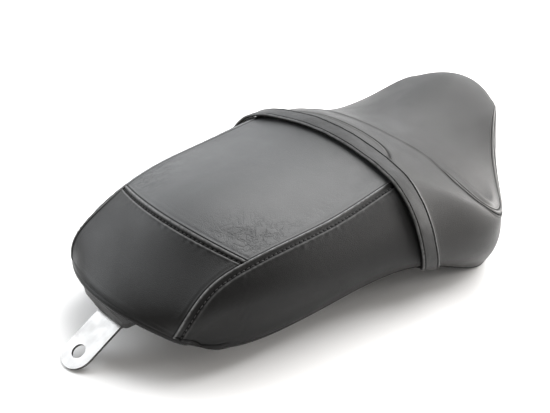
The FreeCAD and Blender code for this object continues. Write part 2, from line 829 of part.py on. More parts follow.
def make_strap_screw(name, side):
    """Pan-headed screw that clamps the plate and the strap to the pan."""
    body = new_body(name)
    profile = draw_outline(
        body,
        name + "_profile",
        "XZ_Plane",
        [
            ("0", "0"),
            ("strap_screw_head * 0.7", "0"),
            ("strap_screw_head", "strap_screw_head_height * 0.5"),
            ("strap_screw_head", "strap_screw_head_height"),
            ("strap_screw_radius", "strap_screw_head_height"),
            ("strap_screw_radius", "strap_screw_head_height + strap_screw_length"),
            ("0", "strap_screw_head_height + strap_screw_length"),
        ],
    )
    revolve(body, profile)
    origin, forward, up = strap_fixing(side)
    turn = FreeCAD.Rotation(forward, up.cross(forward), up, "ZXY")
    below = size("strap_plate_thickness") + size("strap_screw_head_height")
    return settle(body, name, origin - up * below, turn)


# ---------------------------------------------------------------- pan and staples


def chin_block():
    """Block under the rear of the pan that the tab is riveted to, wider at its top."""
    levels = (
        (BRACKET_TOP, -9.0, 72.0, size("chin_half_width")),
        (72.0, -24.0, 86.0, size("chin_top_half_width")),
    )
    wires = []
    for z, rear, front, half_width in levels:
        corners = [(rear, -half_width), (front, -half_width), (front, half_width), (rear, half_width)]
        wires.append(Part.makePolygon([FreeCAD.Vector(x, y, z) for x, y in corners + corners[:1]]))
    block = Part.makeLoft(wires, True, True)
    upright = [e for e in block.Edges if abs(e.tangentAt(e.FirstParameter).z) > 0.5]
    return block.makeFillet(7, upright)


def pan_ribs():
    """Ribs across and along the underside of the pan."""
    thickness = size("rib_thickness")
    boxes = []
    for x in (104, 160, 216, 272, 328, 384, 440, 500):
        boxes.append(Part.makeBox(thickness, 400, 200, FreeCAD.Vector(x, -200, 0)))
    for y in (-48, 0, 48):
        corner = FreeCAD.Vector(60, y - thickness / 2, 0)
        boxes.append(Part.makeBox(450, thickness, 200, corner))
    reach = [x for x in ACROSS if abs(x) < 0.84]
    places = [p for p in ALONG if 80 < p < 620]
    upper = layer(underside_point, PAN_BASE + 1, places, reach)
    lower = layer(underside_point, PAN_BASE - size("rib_height"), places, reach)
    band = sheet_solid(upper, lower, [(places[0], places[-1], reach[0], reach[-1])])
    return [band.common(box) for box in boxes]


def make_pan():
    """Moulded pan: a curved wall with ribs, a boss above each bumper and pads for the steel parts."""
    top = layer(underside_point, PAN_TOP)
    base = layer(underside_point, PAN_BASE)
    whole = [(0.0, END, -1.0, 1.0)]
    wall = sheet_solid(top, base, whole)
    room_top = layer(underside_point, PAN_BASE + size("pan_thickness") / 2)
    room = sheet_solid(room_top, floor_below(room_top), whole)
    blocks = [chin_block()]
    for _, spot in bumper_spots():
        blocks.append(Part.makeCylinder(size("boss_radius"), 60, spot))
    pad_corner = FreeCAD.Vector(size("tongue_rear_x") - 5, -28, size("tongue_top_z"))
    blocks.append(Part.makeBox(size("tongue_flat") + 3, 56, 60, pad_corner))
    pan = wall.fuse([room.common(block) for block in blocks] + pan_ribs())
    holes = [strap_holes()]
    for _, spot in bumper_spots():
        depth = size("bumper_stem_length") + 0.2
        holes.append(Part.makeCylinder(size("bumper_stem_radius"), depth, spot))
        holes.append(Part.makeCylinder(size("bumper_radius") + 3.5, 80, spot - UP * 80))
    for point in bracket_rivet_points() + tongue_rivet_points():
        holes.append(Part.makeCylinder(size("rivet_radius"), size("rivet_length"), point))
    return add_feature("base_pan", pan.cut(holes))


def floor_below(surface):
    """Copy of a surface pressed flat, well below the seat."""
    flat = surface.copy()
    for i in range(1, flat.NbUPoles + 1):
        for j in range(1, flat.NbVPoles + 1):
            pole = flat.getPole(i, j)
            pole.z = -60
            flat.setPole(i, j, pole)
    return flat


def staple_shape():
    """One staple: its crown below the fold and two legs up through it."""
    width = size("staple_width")
    wire = size("staple_wire")
    leg = size("staple_leg")
    crown = Part.makeBox(width, wire, wire, FreeCAD.Vector(-width / 2, -wire / 2, -wire))
    legs = []
    for x in (-width / 2, width / 2 - wire):
        legs.append(Part.makeBox(wire, wire, leg + wire, FreeCAD.Vector(x, -wire / 2, -wire)))
    return crown.fuse(legs).removeSplitter()


def make_staples():
    """Staples that hold the fold to the pan, at an even pitch all the way round."""
    pitch = size("staple_pitch")
    share = 1 - size("fold_share") / 2
    spots = []
    count = int(END // pitch)
    for i in range(count):
        place = (i + 0.5) * END / count
        if abs(place - BAND_PLACE) > 22:
            spots += [(place, share, (1, 0)), (place, -share, (1, 0))]
    for i in range(-3, 4):
        spots.append((size("fold_reach") / 2, i * 0.25, (0, 1)))
    for i in (-1, 0, 1):
        spots.append((END - size("fold_reach") / 2, i * 0.5, (0, 1)))
    staples = []
    for place, across, (forward, sideways) in spots:
        up = normal_at(underside_point, place, across)
        origin = underside_point(place, across)
        step = underside_point(min(END, place + forward), min(1.0, across + 0.01 * sideways))
        along = step - origin
        along = (along - up * along.dot(up)).normalize()
        staples.append(placed(staple_shape(), origin - up * 0.05, along, up))
    return add_feature("cover_staples", Part.makeCompound(staples))


# ---------------------------------------------------------------- the whole seat


def make_seat():
    nodes = make_cover_panels()
    nodes += [make_cover_fold(), make_foam(), make_strap(), make_pan(), make_staples()]
    nodes += [make_bracket(), make_tongue()]
    nodes += make_rivets()
    nodes += [make_bumper(name, spot) for name, spot in bumper_spots()]
    nodes += [make_strap_plate("left_strap_plate", 1), make_strap_plate("right_strap_plate", -1)]
    screws = [make_strap_screw("left_strap_screw", 1), make_strap_screw("right_strap_screw", -1)]
    nodes.append(group("strap_screws", screws))
    return nodes


def write_parts(nodes):
    DOC.recompute()
    for item in DOC.Objects:
        if "Invalid" in item.State or "Error" in item.State:
            raise RuntimeError("%s failed to recompute" % item.Label)
    for node in nodes:
        if node.Shape.isNull() or not node.Shape.isValid():
            raise RuntimeError("%s has no valid shape" % node.Label)
    os.makedirs("parts", exist_ok=True)
    for node in nodes:
        node.Shape.exportStep("parts/%s.step" % node.Label)


write_parts(make_seat())
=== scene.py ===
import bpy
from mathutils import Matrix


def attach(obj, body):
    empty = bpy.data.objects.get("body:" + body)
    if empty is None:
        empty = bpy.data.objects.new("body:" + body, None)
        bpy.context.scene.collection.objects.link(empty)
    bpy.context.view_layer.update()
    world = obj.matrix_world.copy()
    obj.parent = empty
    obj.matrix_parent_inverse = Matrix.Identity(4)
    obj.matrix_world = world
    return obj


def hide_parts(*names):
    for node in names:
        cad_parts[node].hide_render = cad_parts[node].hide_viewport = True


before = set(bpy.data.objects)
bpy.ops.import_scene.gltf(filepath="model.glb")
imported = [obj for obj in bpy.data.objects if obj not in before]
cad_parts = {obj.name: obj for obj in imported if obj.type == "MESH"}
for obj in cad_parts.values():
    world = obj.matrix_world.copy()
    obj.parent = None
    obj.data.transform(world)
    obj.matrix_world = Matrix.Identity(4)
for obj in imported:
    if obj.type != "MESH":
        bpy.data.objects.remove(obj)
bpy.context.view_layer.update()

import math

import bpy
import numpy as np
from mathutils import Matrix, Vector

# The looks of a two-up motorcycle seat. The cover is drawn with the same stations and the same formula as
# the CAD model, in bench millimetres, and then moved to the row frame. On top of that shape come the swell
# of the foam between the seams, the seams themselves, the stitches, the strap and the turned hem.

# The row frame's origin on the bench. Shares of the half section, from spine to hem, at its seam and waist.
ORIGIN = np.array([278.4, 0, 0])
SEAM = 0.5
WAIST = 0.75

# place, spine x z, seam x y z, waist x y z, hem x y z, pan z
STATIONS = np.array([
    (0, -22, 67, 4, 88, 54, 14, 98, 50, 25, 105, 45, 61),
    (22, -5, 80, 9, 95, 72, 24, 105, 62, 36, 110, 40, 57),
    (72, 33, 109, 45, 96, 105, 48, 114, 78, 54, 115, 36, 55),
    (112, 64, 131, 85, 102, 119.5, 75, 123, 83, 77, 119, 33, 55),
    (225, 177, 154, 193, 113, 133.5, 177, 144, 82, 183, 128, 35, 58),
    (338, 296, 163, 292, 111, 146, 298, 163, 71, 329, 142, 36, 62),
    (372, 325, 170, 326, 116, 146, 332, 172, 65, 369, 150, 25, 62),
    (455, 379, 159, 419, 178, 99, 422, 189, 61, 451, 160, 0.3, 60),
    (512, 439, 151, 472, 148, 99, 479, 156, 75, 498, 138, 9, 62),
    (572, 519, 166, 523, 98, 133, 535, 107, 98, 546, 102, 39, 76),
    (632, 591, 177, 574, 65, 158, 585, 70, 116, 589, 73, 74, 98),
    (690, 622, 115, 616, 44, 110, 610, 54, 106, 603, 62, 98, 113),
], float)
PLACES = STATIONS[:, 0]
END = PLACES[-1]

# Places along the seat of the two cross seams and of the strap's rear edge, middle and front edge.
REAR_SEAM = 115.5
STRAP_REAR, BAND, STRAP_FRONT = 340.5, 353.25, 366.0
RIDER_SEAM = 455.0

# The hem: how far the pan's edge lies inside it and hangs below it at the rear, where its roll starts and the
# line pressed above it lies, how full the roll is, how far its fold reaches under the pan, along the seat and
# as a share across, and how thick its edge is.
HEM_INSET = 3.0
REAR_DROP = 6.0
HEM_ROLL = 3.2
HEM_LINE = 6.0
HEM_BULGE = 2.4
FOLD_REACH = 14.0
FOLD_SHARE = 0.1
FOLD_EDGE = 1.1

# The strap: its gap to the cover, how much wider that is at its rear edge and narrower at its front one, how
# much closer it lies at the hem and how much thinner it is there.
STRAP_GAP = 2.2
STRAP_TILT = 0.4
STRAP_PULL = 2.5
STRAP_SQUEEZE = 1.6
STRAP_THICKNESS = 3.6

COVER_THICKNESS = 1.8

# The foam: how far it lies below the cover and above the underside, its two ends, its width as a share.
FOAM_BELOW_COVER = 4.2
FOAM_ABOVE_UNDERSIDE = 5.2
FOAM_REAR, FOAM_NOSE = 24, END - 26
FOAM_SHARE = 0.92


# ---- the shape of the cover and the pan


def arrays(*values):
    """The values as arrays of floats of one shape."""
    return np.broadcast_arrays(*(np.asarray(value, float) for value in values))


def bends(places, values):
    """Second derivatives at the knots of the natural cubic spline through the values."""
    matrix = np.eye(len(places))
    right = np.zeros_like(values)
    for i in range(1, len(places) - 1):
        before = places[i] - places[i - 1]
        after = places[i + 1] - places[i]
        matrix[i, i - 1:i + 2] = before, 2 * (before + after), after
        right[i] = 6 * ((values[i + 1] - values[i]) / after - (values[i] - values[i - 1]) / before)
    return np.linalg.solve(matrix, right)


def along_spline(places, values, curved, at):
    """Values of the spline at the given places."""
    at = np.asarray(at, float)
    i = np.clip(np.searchsorted(places, at, side="right") - 1, 0, len(places) - 2)
    step = places[i + 1] - places[i]
    after = ((at - places[i]) / step)[..., None]
    before = 1 - after
    curve = (before ** 3 - before) * curved[i] + (after ** 3 - after) * curved[i + 1]
    return before * values[i] + after * values[i + 1] + curve * (step * step)[..., None] / 6


STATION_BENDS = bends(PLACES, STATIONS[:, 1:])


def guides(along):
    """Spine, seam, waist, hem and pan height at places along the seat."""
    g = along_spline(PLACES, STATIONS[:, 1:], STATION_BENDS, along)
    spine = np.stack([g[..., 0], np.zeros_like(g[..., 0]), g[..., 1]], -1)
    return spine, g[..., 2:5], g[..., 5:8], g[..., 8:11], g[..., 11]


def hermite(start, start_slope, end, end_slope, share):
    """Cubic between two points with given slopes."""
    square = share * share
    cube = square * share
    return (
        start * (2 * cube - 3 * square + 1)
        + start_slope * (cube - 2 * square + share)
        + end * (3 * square - 2 * cube)
        + end_slope * (cube - square)
    )


def length_of(vectors):
    """Lengths of vectors, kept as a last axis of one."""
    return np.linalg.norm(vectors, axis=-1, keepdims=True)


def unit(vectors):
    return vectors / np.maximum(length_of(vectors), 1e-9)


def cover(along, across):
    """Outside of the cover. across runs from -1, the right hem, to 1, the left hem."""
    along, across = arrays(along, across)
    spine, seam, waist, hem, _ = guides(along)
    out = np.abs(across)[..., None]
    share = out / SEAM
    top = spine + (seam - spine) * share * share
    top[..., 1] = seam[..., 1] * share[..., 0]
    top_slope = (seam - spine) * 2
    top_slope[..., 1] = seam[..., 1]
    top_slope = unit(top_slope) * length_of(waist - seam)
    side_slope = (hem - seam) * 0.5
    side_slope[..., 1] = 0
    hem_slope = hem - waist
    hem_slope[..., 1] *= 1.6
    upper = hermite(seam, top_slope, waist, side_slope, (out - SEAM) / (WAIST - SEAM))
    lower = hermite(waist, side_slope, hem, hem_slope, (out - WAIST) / (1 - WAIST))
    point = np.where(out <= SEAM, top, np.where(out <= WAIST, upper, lower))
    point[..., 1] *= np.where(across < 0, -1, 1)
    return point


def underside(along, across):
    """Underside of the seat, where the fold of the cover lies under the pan."""
    along, across = arrays(along, across)
    edge = cover(along, np.ones_like(along))
    pan_z = guides(along)[4]
    rise = (1 - across ** 4) ** 2
    point = edge.copy()
    point[..., 1] = (edge[..., 1] - HEM_INSET) * across
    point[..., 2] = edge[..., 2] + (pan_z - edge[..., 2]) * rise
    for end, place, inward in ((along, 0.0, 1), (END - along, END, -1)):
        weight = np.maximum(0, 1 - end / 180) ** 3
        corner = cover(place, 1.0)
        lip = cover(np.full_like(across, place), across)
        lip_rise = (guides(place)[4] - corner[2]) * rise
        drop = REAR_DROP * (1 - across ** 2) if inward > 0 else 0.0
        point[..., 0] += (lip[..., 0] - corner[0] + HEM_INSET * inward) * weight
        point[..., 1] += (lip[..., 1] - corner[1] * across) * weight
        point[..., 2] += (lip[..., 2] - corner[2] - lip_rise - drop) * weight
    return point


def normals(surface, along, across):
    """Unit vectors out of the seat's top, or up from its underside."""
    along, across = arrays(along, across)
    low, high = np.maximum(0, along - 0.5), np.minimum(END, along + 0.5)
    right, left = np.maximum(-1, across - 0.004), np.minimum(1, across + 0.004)
    forward = surface(high, across) - surface(low, across)
    sideways = surface(along, left) - surface(along, right)
    return unit(np.cross(forward, sideways))


def off(surface, along, across, distance):
    """Points of a surface moved by a distance along its normals."""
    return surface(along, across) + normals(surface, along, across) * np.asarray(distance)[..., None]


def out_of_hem(along, across, distance):
    """Points of the hem moved by a distance between outwards and down."""
    between = unit(normals(cover, along, across) - normals(underside, along, across))
    return cover(along, across) + between * distance


# ---- distances over the cover

ALONG_GRID = np.linspace(0, END, 346)
ACROSS_GRID = np.linspace(-1, 1, 601)


def running_length(points, axis=0):
    """Length over the surface from the first row or column."""
    steps = length_of(np.diff(points, axis=axis))[..., 0]
    start = np.zeros_like(np.take(steps, [0], axis=axis))
    return np.cumsum(np.concatenate([start, steps], axis=axis), axis=axis)


GRID_POINTS = cover(ALONG_GRID[:, None], ACROSS_GRID[None, :])
LENGTH_ALONG = running_length(GRID_POINTS, 0)
LENGTH_ACROSS = running_length(GRID_POINTS, 1)


def in_table(table, along, across):
    """Bilinear reading of a table over the whole cover."""
    rows, columns = table.shape
    u = np.clip(np.asarray(along) / END * (rows - 1), 0, rows - 1.0001)
    v = np.clip((np.asarray(across) + 1) / 2 * (columns - 1), 0, columns - 1.0001)
    i, j = u.astype(int), v.astype(int)
    u, v = u - i, v - j
    return (
        table[i, j] * (1 - u) * (1 - v) + table[i + 1, j] * u * (1 - v)
        + table[i, j + 1] * (1 - u) * v + table[i + 1, j + 1] * u * v
    )


def beyond_side_seam(along, across):
    """Millimetres over the cover from the side seam, positive down the side."""
    out = np.abs(across)
    return in_table(LENGTH_ACROSS, along, out) - in_table(LENGTH_ACROSS, along, np.full_like(out, SEAM))


def ahead_of(place, along, across):
    """Millimetres over the cover from a place along the seat, positive forward."""
    return in_table(LENGTH_ALONG, along, across) - in_table(LENGTH_ALONG, place + 0 * along, across)


def across_at(along, beyond):
    """Where, at places along the left side, the cover lies so far beyond the side seam."""
    along, beyond = arrays(along, beyond)
    half = np.linspace(0, 1, 301)
    result = np.empty(along.shape)
    for index in np.ndindex(along.shape[:1]):
        place = along[index].flat[0]
        reach = beyond_side_seam(np.full_like(half, place), half)
        result[index] = np.interp(beyond[index], reach, half)
    return result


def along_at(place, ahead, across):
    """Where, at shares across the seat, the cover lies so far ahead of a place."""
    place, ahead, across = arrays(place, ahead, across)
    result = np.empty(across.shape)
    for index in np.ndindex(across.shape):
        reach = np.linspace(max(0, place[index] - 60), END, 900)
        lengths = ahead_of(place[index], reach, np.full_like(reach, across[index]))
        result[index] = np.interp(ahead[index], lengths, reach)
    return result


def smooth(value, low, high):
    """Eased step from 0 at low to 1 at high."""
    share = np.clip((value - low) / (high - low), 0, 1)
    return share * share * (3 - 2 * share)


def bump_at(distance, centre, width):
    """Bell of unit height."""
    return np.exp(-((distance - centre) / width) ** 2)


# ---- seams and rows of stitches

# Millimetres from seams to their stitches, radius of the rider's panel at its rear corners, and pitch of the
# stitches behind the strap and round the rider.
SIDE_STITCH = REAR_STITCH = 6.4
RIDER_CORNER = 20.0
STITCH = 5.6
RIDER_STITCH = 4.4


def crease_place(across):
    """Place of the seam that shows in front of the strap and runs under it at both sides."""
    return 393.0 - 22.0 * (np.abs(across) / 0.37) ** 4


def rider_place(across):
    """Place of the seam behind the rider. It bends forward beside the middle and back at the hips."""
    out = np.abs(across)
    return RIDER_SEAM + 2.0 + 6.0 * bump_at(out, 0.22, 0.07) - 11.0 * smooth(out, 0.26, 0.46)


def rider_edge(along, across):
    """Millimetres outside the seam round the rider's top panel, negative on the panel."""
    behind = RIDER_CORNER - ahead_of(rider_place(across), along, across)
    beside = RIDER_CORNER + beyond_side_seam(along, across)
    outside = np.hypot(np.maximum(behind, 0), np.maximum(beside, 0))
    return outside + np.minimum(np.maximum(behind, beside), 0) - RIDER_CORNER


def rider_stitch(across):
    """Millimetres from the rider's seam out to its row of stitches."""
    return 2.4 + 5.4 * smooth(np.abs(across), 0.24, 0.42)


def rider_row():
    """The row round the rider's top panel: behind it, round its two rear corners and along the thighs."""
    middle = np.linspace(0, 0.42, 150, endpoint=False)
    out = float(rider_stitch(0.5))
    start = along_at(rider_place(middle), -rider_stitch(middle), middle)
    turn = np.linspace(0, math.pi / 2, 24)
    behind = (RIDER_CORNER + out) * np.cos(turn) - RIDER_CORNER
    beside = (RIDER_CORNER + out) * np.sin(turn) - RIDER_CORNER
    along = RIDER_SEAM - behind
    for _ in range(4):
        across = across_at(along, beside)
        along = along_at(rider_place(across), -behind, across)
    ahead = np.linspace(along[-1], END - 5, 260)[1:]
    thigh = across_at(ahead, out)
    kept = middle < across[0] - 0.004
    half_along = np.concatenate([start[kept], along, ahead])
    half_across = np.concatenate([middle[kept], across, thigh])
    whole_along = np.concatenate([half_along[::-1], half_along[1:]])
    return whole_along, np.concatenate([-half_across[::-1], half_across[1:]])


def side_row():
    """The row along the left side seam, from the rear hem to the strap."""
    along = np.linspace(4.5, STRAP_REAR - 1, 400)
    return along, across_at(along, SIDE_STITCH)


def rear_row():
    """The row behind the cross seam, from one side seam to the other."""
    end = float(across_at([REAR_SEAM], -2.6)[0])
    across = np.linspace(-end, end, 260)
    return along_at(REAR_SEAM, -REAR_STITCH, across), across


class StitchRow:
    """Path over the plain cover, divided into stitches of one pitch."""

    def __init__(self, along, across, pitch):
        self.along, self.across = along, across
        self.reach = running_length(cover(along, across))
        self.count = int(self.reach[-1] / pitch)
        self.pitch = self.reach[-1] / self.count

    def from_hole(self, axis, where):
        """Millimetres along the row to the nearest needle hole, read off along or across."""
        stitches = np.interp(where, axis, self.reach) / self.pitch
        return (stitches - np.round(stitches)) * self.pitch


SIDE_ROW = StitchRow(*side_row(), STITCH)
REAR_ROW = StitchRow(*rear_row(), STITCH)
RIDER_ROW = StitchRow(*rider_row(), RIDER_STITCH)


# ---- relief of the cover


def ripple(points, wavelength, seed):
    """Smooth random field of unit strength: a sum of plane waves with seeded directions."""
    rng = np.random.default_rng(seed)
    total = np.zeros(points.shape[:-1])
    for _ in range(24):
        direction = rng.normal(size=3)
        direction *= 2 * math.pi / wavelength / np.linalg.norm(direction) * rng.uniform(0.6, 1.5)
        total += np.sin(points @ direction + rng.uniform(0, 2 * math.pi))
    return total / math.sqrt(12)


def profile(distance, *bumps):
    """Cross-section of a seam: bumps of a height, the distance of their middle and their width."""
    return sum(height * bump_at(distance, middle, width) for height, middle, width in bumps)


# Each seam gives the height it adds to the cover, the painted shade in its gaps and needle holes, and the
# wear with a painted highlight along its ridges.


def side_seam(along, across):
    """Seam at the top of each side: a gap, a ridge, a sunk row of stitches and a roll below it."""
    side = beyond_side_seam(along, across)
    pulled = 0.5 + 0.5 * smooth(along, 30, 90)
    holes = bump_at(SIDE_ROW.from_hole(SIDE_ROW.along, along), 0, 1.15) * bump_at(side, SIDE_STITCH, 1.0)
    height = profile(side, (-0.8, -1.7, 0.6), (-0.3, -4.2, 2.2), (1.0, 0.2, 1.05), (-0.35, SIDE_STITCH, 1.3))
    height = height + pulled * profile(side, (-1.25, 4.4, 2.3), (0.5, 9.2, 1.3)) - 0.9 * holes
    # The gap values are painted shade in the seam line and needle holes; the ridge values lighten the ridges
    # with wear and a painted highlight.
    gap = profile(side, (0.8, -1.7, 0.7), (0.35, SIDE_STITCH, 1.3)) + 0.9 * holes
    ridge_wear_highlight = profile(side, (1.0, 0.1, 1.0)) + pulled * profile(side, (0.3, 9.0, 1.0))
    ridge_wear_highlight = ridge_wear_highlight * (1 - smooth(along, STRAP_REAR - 14, STRAP_REAR - 4))
    return np.stack([height, gap, ridge_wear_highlight]) * (1 - smooth(along, BAND - 4, BAND + 4))


def rear_seam(along, across):
    """Seam across the seat behind the pillion's place, ending at the two side seams."""
    rear = -ahead_of(REAR_SEAM, along, across)
    holes = bump_at(REAR_ROW.from_hole(REAR_ROW.across, across), 0, 1.15) * bump_at(rear, REAR_STITCH, 1.3)
    height = profile(rear, (-0.9, 0.0, 0.6), (-0.3, -3.2, 2.0), (0.65, 2.5, 1.5)) - 0.8 * holes
    height = height + profile(rear, (-1.3, REAR_STITCH, 1.5), (0.6, REAR_STITCH + 3.0, 1.25))
    # The gap values are painted shade in the seam line and needle holes; the ridge values lighten the ridge
    # and the lip with wear and a painted highlight.
    gap = profile(rear, (0.7, 0.0, 0.7), (0.35, REAR_STITCH, 1.5)) + 0.9 * holes
    ridge_wear_highlight = profile(rear, (0.7, 2.5, 1.3), (0.5, REAR_STITCH + 2.8, 1.0))
    between = smooth(-beyond_side_seam(along, across), 1.0, 2.6)
    return np.stack([height, gap, ridge_wear_highlight]) * between * (along < BAND)


def rider_seam(along, across):
    """Seam round the rider's top panel with a stitched line outside it and a raised lip inside each hip."""
    edge = rider_edge(along, across)
    out = rider_stitch(across)
    wide = smooth(out, 3, 6)
    height = (
        profile(edge, (-1.8, out, 0.9), (0.45, out + 2.2, 1.2), (0.25, -1.8, 1.2))
        - (0.35 + 0.6 * wide) * bump_at(edge, 0.0, 0.6)
        + (0.1 + 0.5 * wide) * bump_at(edge, out * 0.5, 1.0 + 1.2 * wide)
    )
    hip = bump_at(ahead_of(RIDER_SEAM + 4, along, across), 0, 34) * smooth(np.abs(across), 0.26, 0.44)
    height = height + 3.4 * bump_at(edge, -13, 8) * hip
    # The gap values are painted shade in the stitched line and the seam; the ridge values lighten the band
    # between with wear and a painted highlight.
    gap = bump_at(edge, out, 1.3) + 0.6 * wide * bump_at(edge, 0.0, 0.6)
    ridge_wear_highlight = 0.18 * bump_at(edge, out * 0.5, 1.3)
    return np.stack([height, gap, ridge_wear_highlight]) * smooth(along, STRAP_FRONT + 6, STRAP_FRONT + 14)


def strap_seam(along, across):
    """Seam that shows in front of the strap."""
    crease = ahead_of(BAND, along, across) - ahead_of(BAND, crease_place(across), across)
    height = profile(crease, (-1.9, 0, 1.0), (0.6, -2.6, 1.6))
    # The gap values are painted shade in the seam; the ridge values lighten its edge with wear and a painted
    # highlight.
    gap = bump_at(crease, 0, 1.35)
    ridge_wear_highlight = 0.4 * bump_at(crease, -2.0, 1.0)
    return np.stack([height, gap, ridge_wear_highlight]) * (1 - smooth(np.abs(across), 0.38, 0.43))


def from_hem(along, across):
    """Millimetres over the cover from its edge."""
    sides = beyond_side_seam(along, np.ones_like(across)) - beyond_side_seam(along, across)
    return np.minimum.reduce([ahead_of(0.0, along, across), sides, -ahead_of(END, along, across)])


def hem_line(along, across):
    """Line where the cover turns over the pan's edge, round the rear end."""
    inside = from_hem(along, across)
    height = profile(inside, (-1.0, HEM_LINE, 0.8), (0.35, HEM_LINE + 2.4, 1.5))
    # The gap values are painted shade in the pressed line.
    gap = 0.9 * bump_at(inside, HEM_LINE, 0.9)
    return np.stack([height, gap, 0 * gap]) * (1 - smooth(along, 60, 120))


def crease_zone(along, across):
    """Share of fine creasing: strongest near the pillion's rear corners, weak over the rest of its top."""
    corner = bump_at(along, 148, 34) * bump_at(np.abs(across), 0.38, 0.15)
    top = smooth(along, 114, 124) * (1 - smooth(along, 330, 350)) * (1 - smooth(np.abs(across), 0.46, 0.50))
    rim = bump_at(np.abs(across), 0.44, 0.05)
    return np.clip((corner + 0.35 * rim) * top, 0, 1)


# Millimetres by which the cover stands out between its seams, over the whole cover.
SWELL = np.zeros((116, 81))


def detail(along, across):
    """Height over the plain cover in millimetres, painted shade in the gaps, and wear with a painted
    highlight on the ridges.
    """
    along, across = arrays(along, across)
    seams = [seam(along, across) for seam in (side_seam, rear_seam, rider_seam, strap_seam, hem_line)]
    height, gap, ridge_wear_highlight = sum(seams)
    points = cover(along, across)
    waves = 0.18 * ripple(points, 24.0, 5) + 0.05 * ripple(points, 8.0, 8)
    puckers = bump_at(beyond_side_seam(along, across), SIDE_STITCH + 3, 5.0) * (along < BAND)
    puckers = puckers + bump_at(-ahead_of(REAR_SEAM, along, across), REAR_STITCH + 3, 5.0)
    height = height + in_table(SWELL, along, across)
    height = height + waves * crease_zone(along, across) + 0.12 * ripple(points, 9.0, 3) * puckers
    height = height * smooth(from_hem(along, across), HEM_ROLL, HEM_LINE)
    return height, np.clip(gap, 0, 1), np.clip(ridge_wear_highlight, 0, 1)


def skin(along, across):
    """Outside of the cover with its detail."""
    return off(cover, along, across, detail(along, across)[0])


# ---- meshes


def new_object(name, data):
    """Object for a mesh, light or camera, in the scene."""
    thing = bpy.data.objects.new(name, data)
    bpy.context.scene.collection.objects.link(thing)
    return thing


def new_mesh(name, points, faces):
    """Mesh object in the row frame, in metres, of points in bench millimetres."""
    mesh = bpy.data.meshes.new(name)
    mesh.from_pydata(((points - ORIGIN) / 1000).reshape(-1, 3).tolist(), [], faces)
    return new_object(name, mesh)


def new_piece(name, points, faces, material):
    """Smooth mesh object that rides on the seat's one body."""
    piece = new_mesh(name, points, faces)
    piece.data.polygons.foreach_set("use_smooth", [True] * len(piece.data.polygons))
    piece.data.materials.append(material)
    piece.data.update()
    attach(piece, "root")
    return piece


def grid_faces(rows, columns, looped=False):
    """Quads over a grid of points, the last column joined to the first where it is looped."""
    i, j = np.meshgrid(np.arange(rows - 1), np.arange(columns if looped else columns - 1), indexing="ij")
    j2 = (j + 1) % columns
    quads = np.stack([i * columns + j, (i + 1) * columns + j, (i + 1) * columns + j2, i * columns + j2], -1)
    return quads.reshape(-1, 4).tolist()


def mark(piece, gap, wear_and_highlight, crease):
    """Float attributes on the points of a mesh, for its material to read. Short ones repeat."""
    # The gap values carry painted shade; the wear values carry wear together with a painted highlight.
    for name, values in (("gap", gap), ("wear_and_highlight", wear_and_highlight), ("crease", crease)):
        attribute = piece.data.attributes.new(name, "FLOAT", "POINT")
        attribute.data.foreach_set("value", np.resize(values, len(piece.data.vertices)).astype(np.float32))


def spread(start, end, step, dense=(), fine=0.45, reach=11.0):
    """Values from start to end, one step apart, and closer together near the dense places."""
    values = [start]
    while values[-1] < end - 1e-6:
        near = min([abs(values[-1] - place) for place in dense] + [1e9])
        share = min(1.0, max(0.0, (near - reach) / reach))
        values.append(min(end, values[-1] + fine + (step - fine) * share))
    if len(values) > 2 and values[-1] - values[-2] < fine / 2:
        del values[-2]
    return np.array(values)


# ---- materials


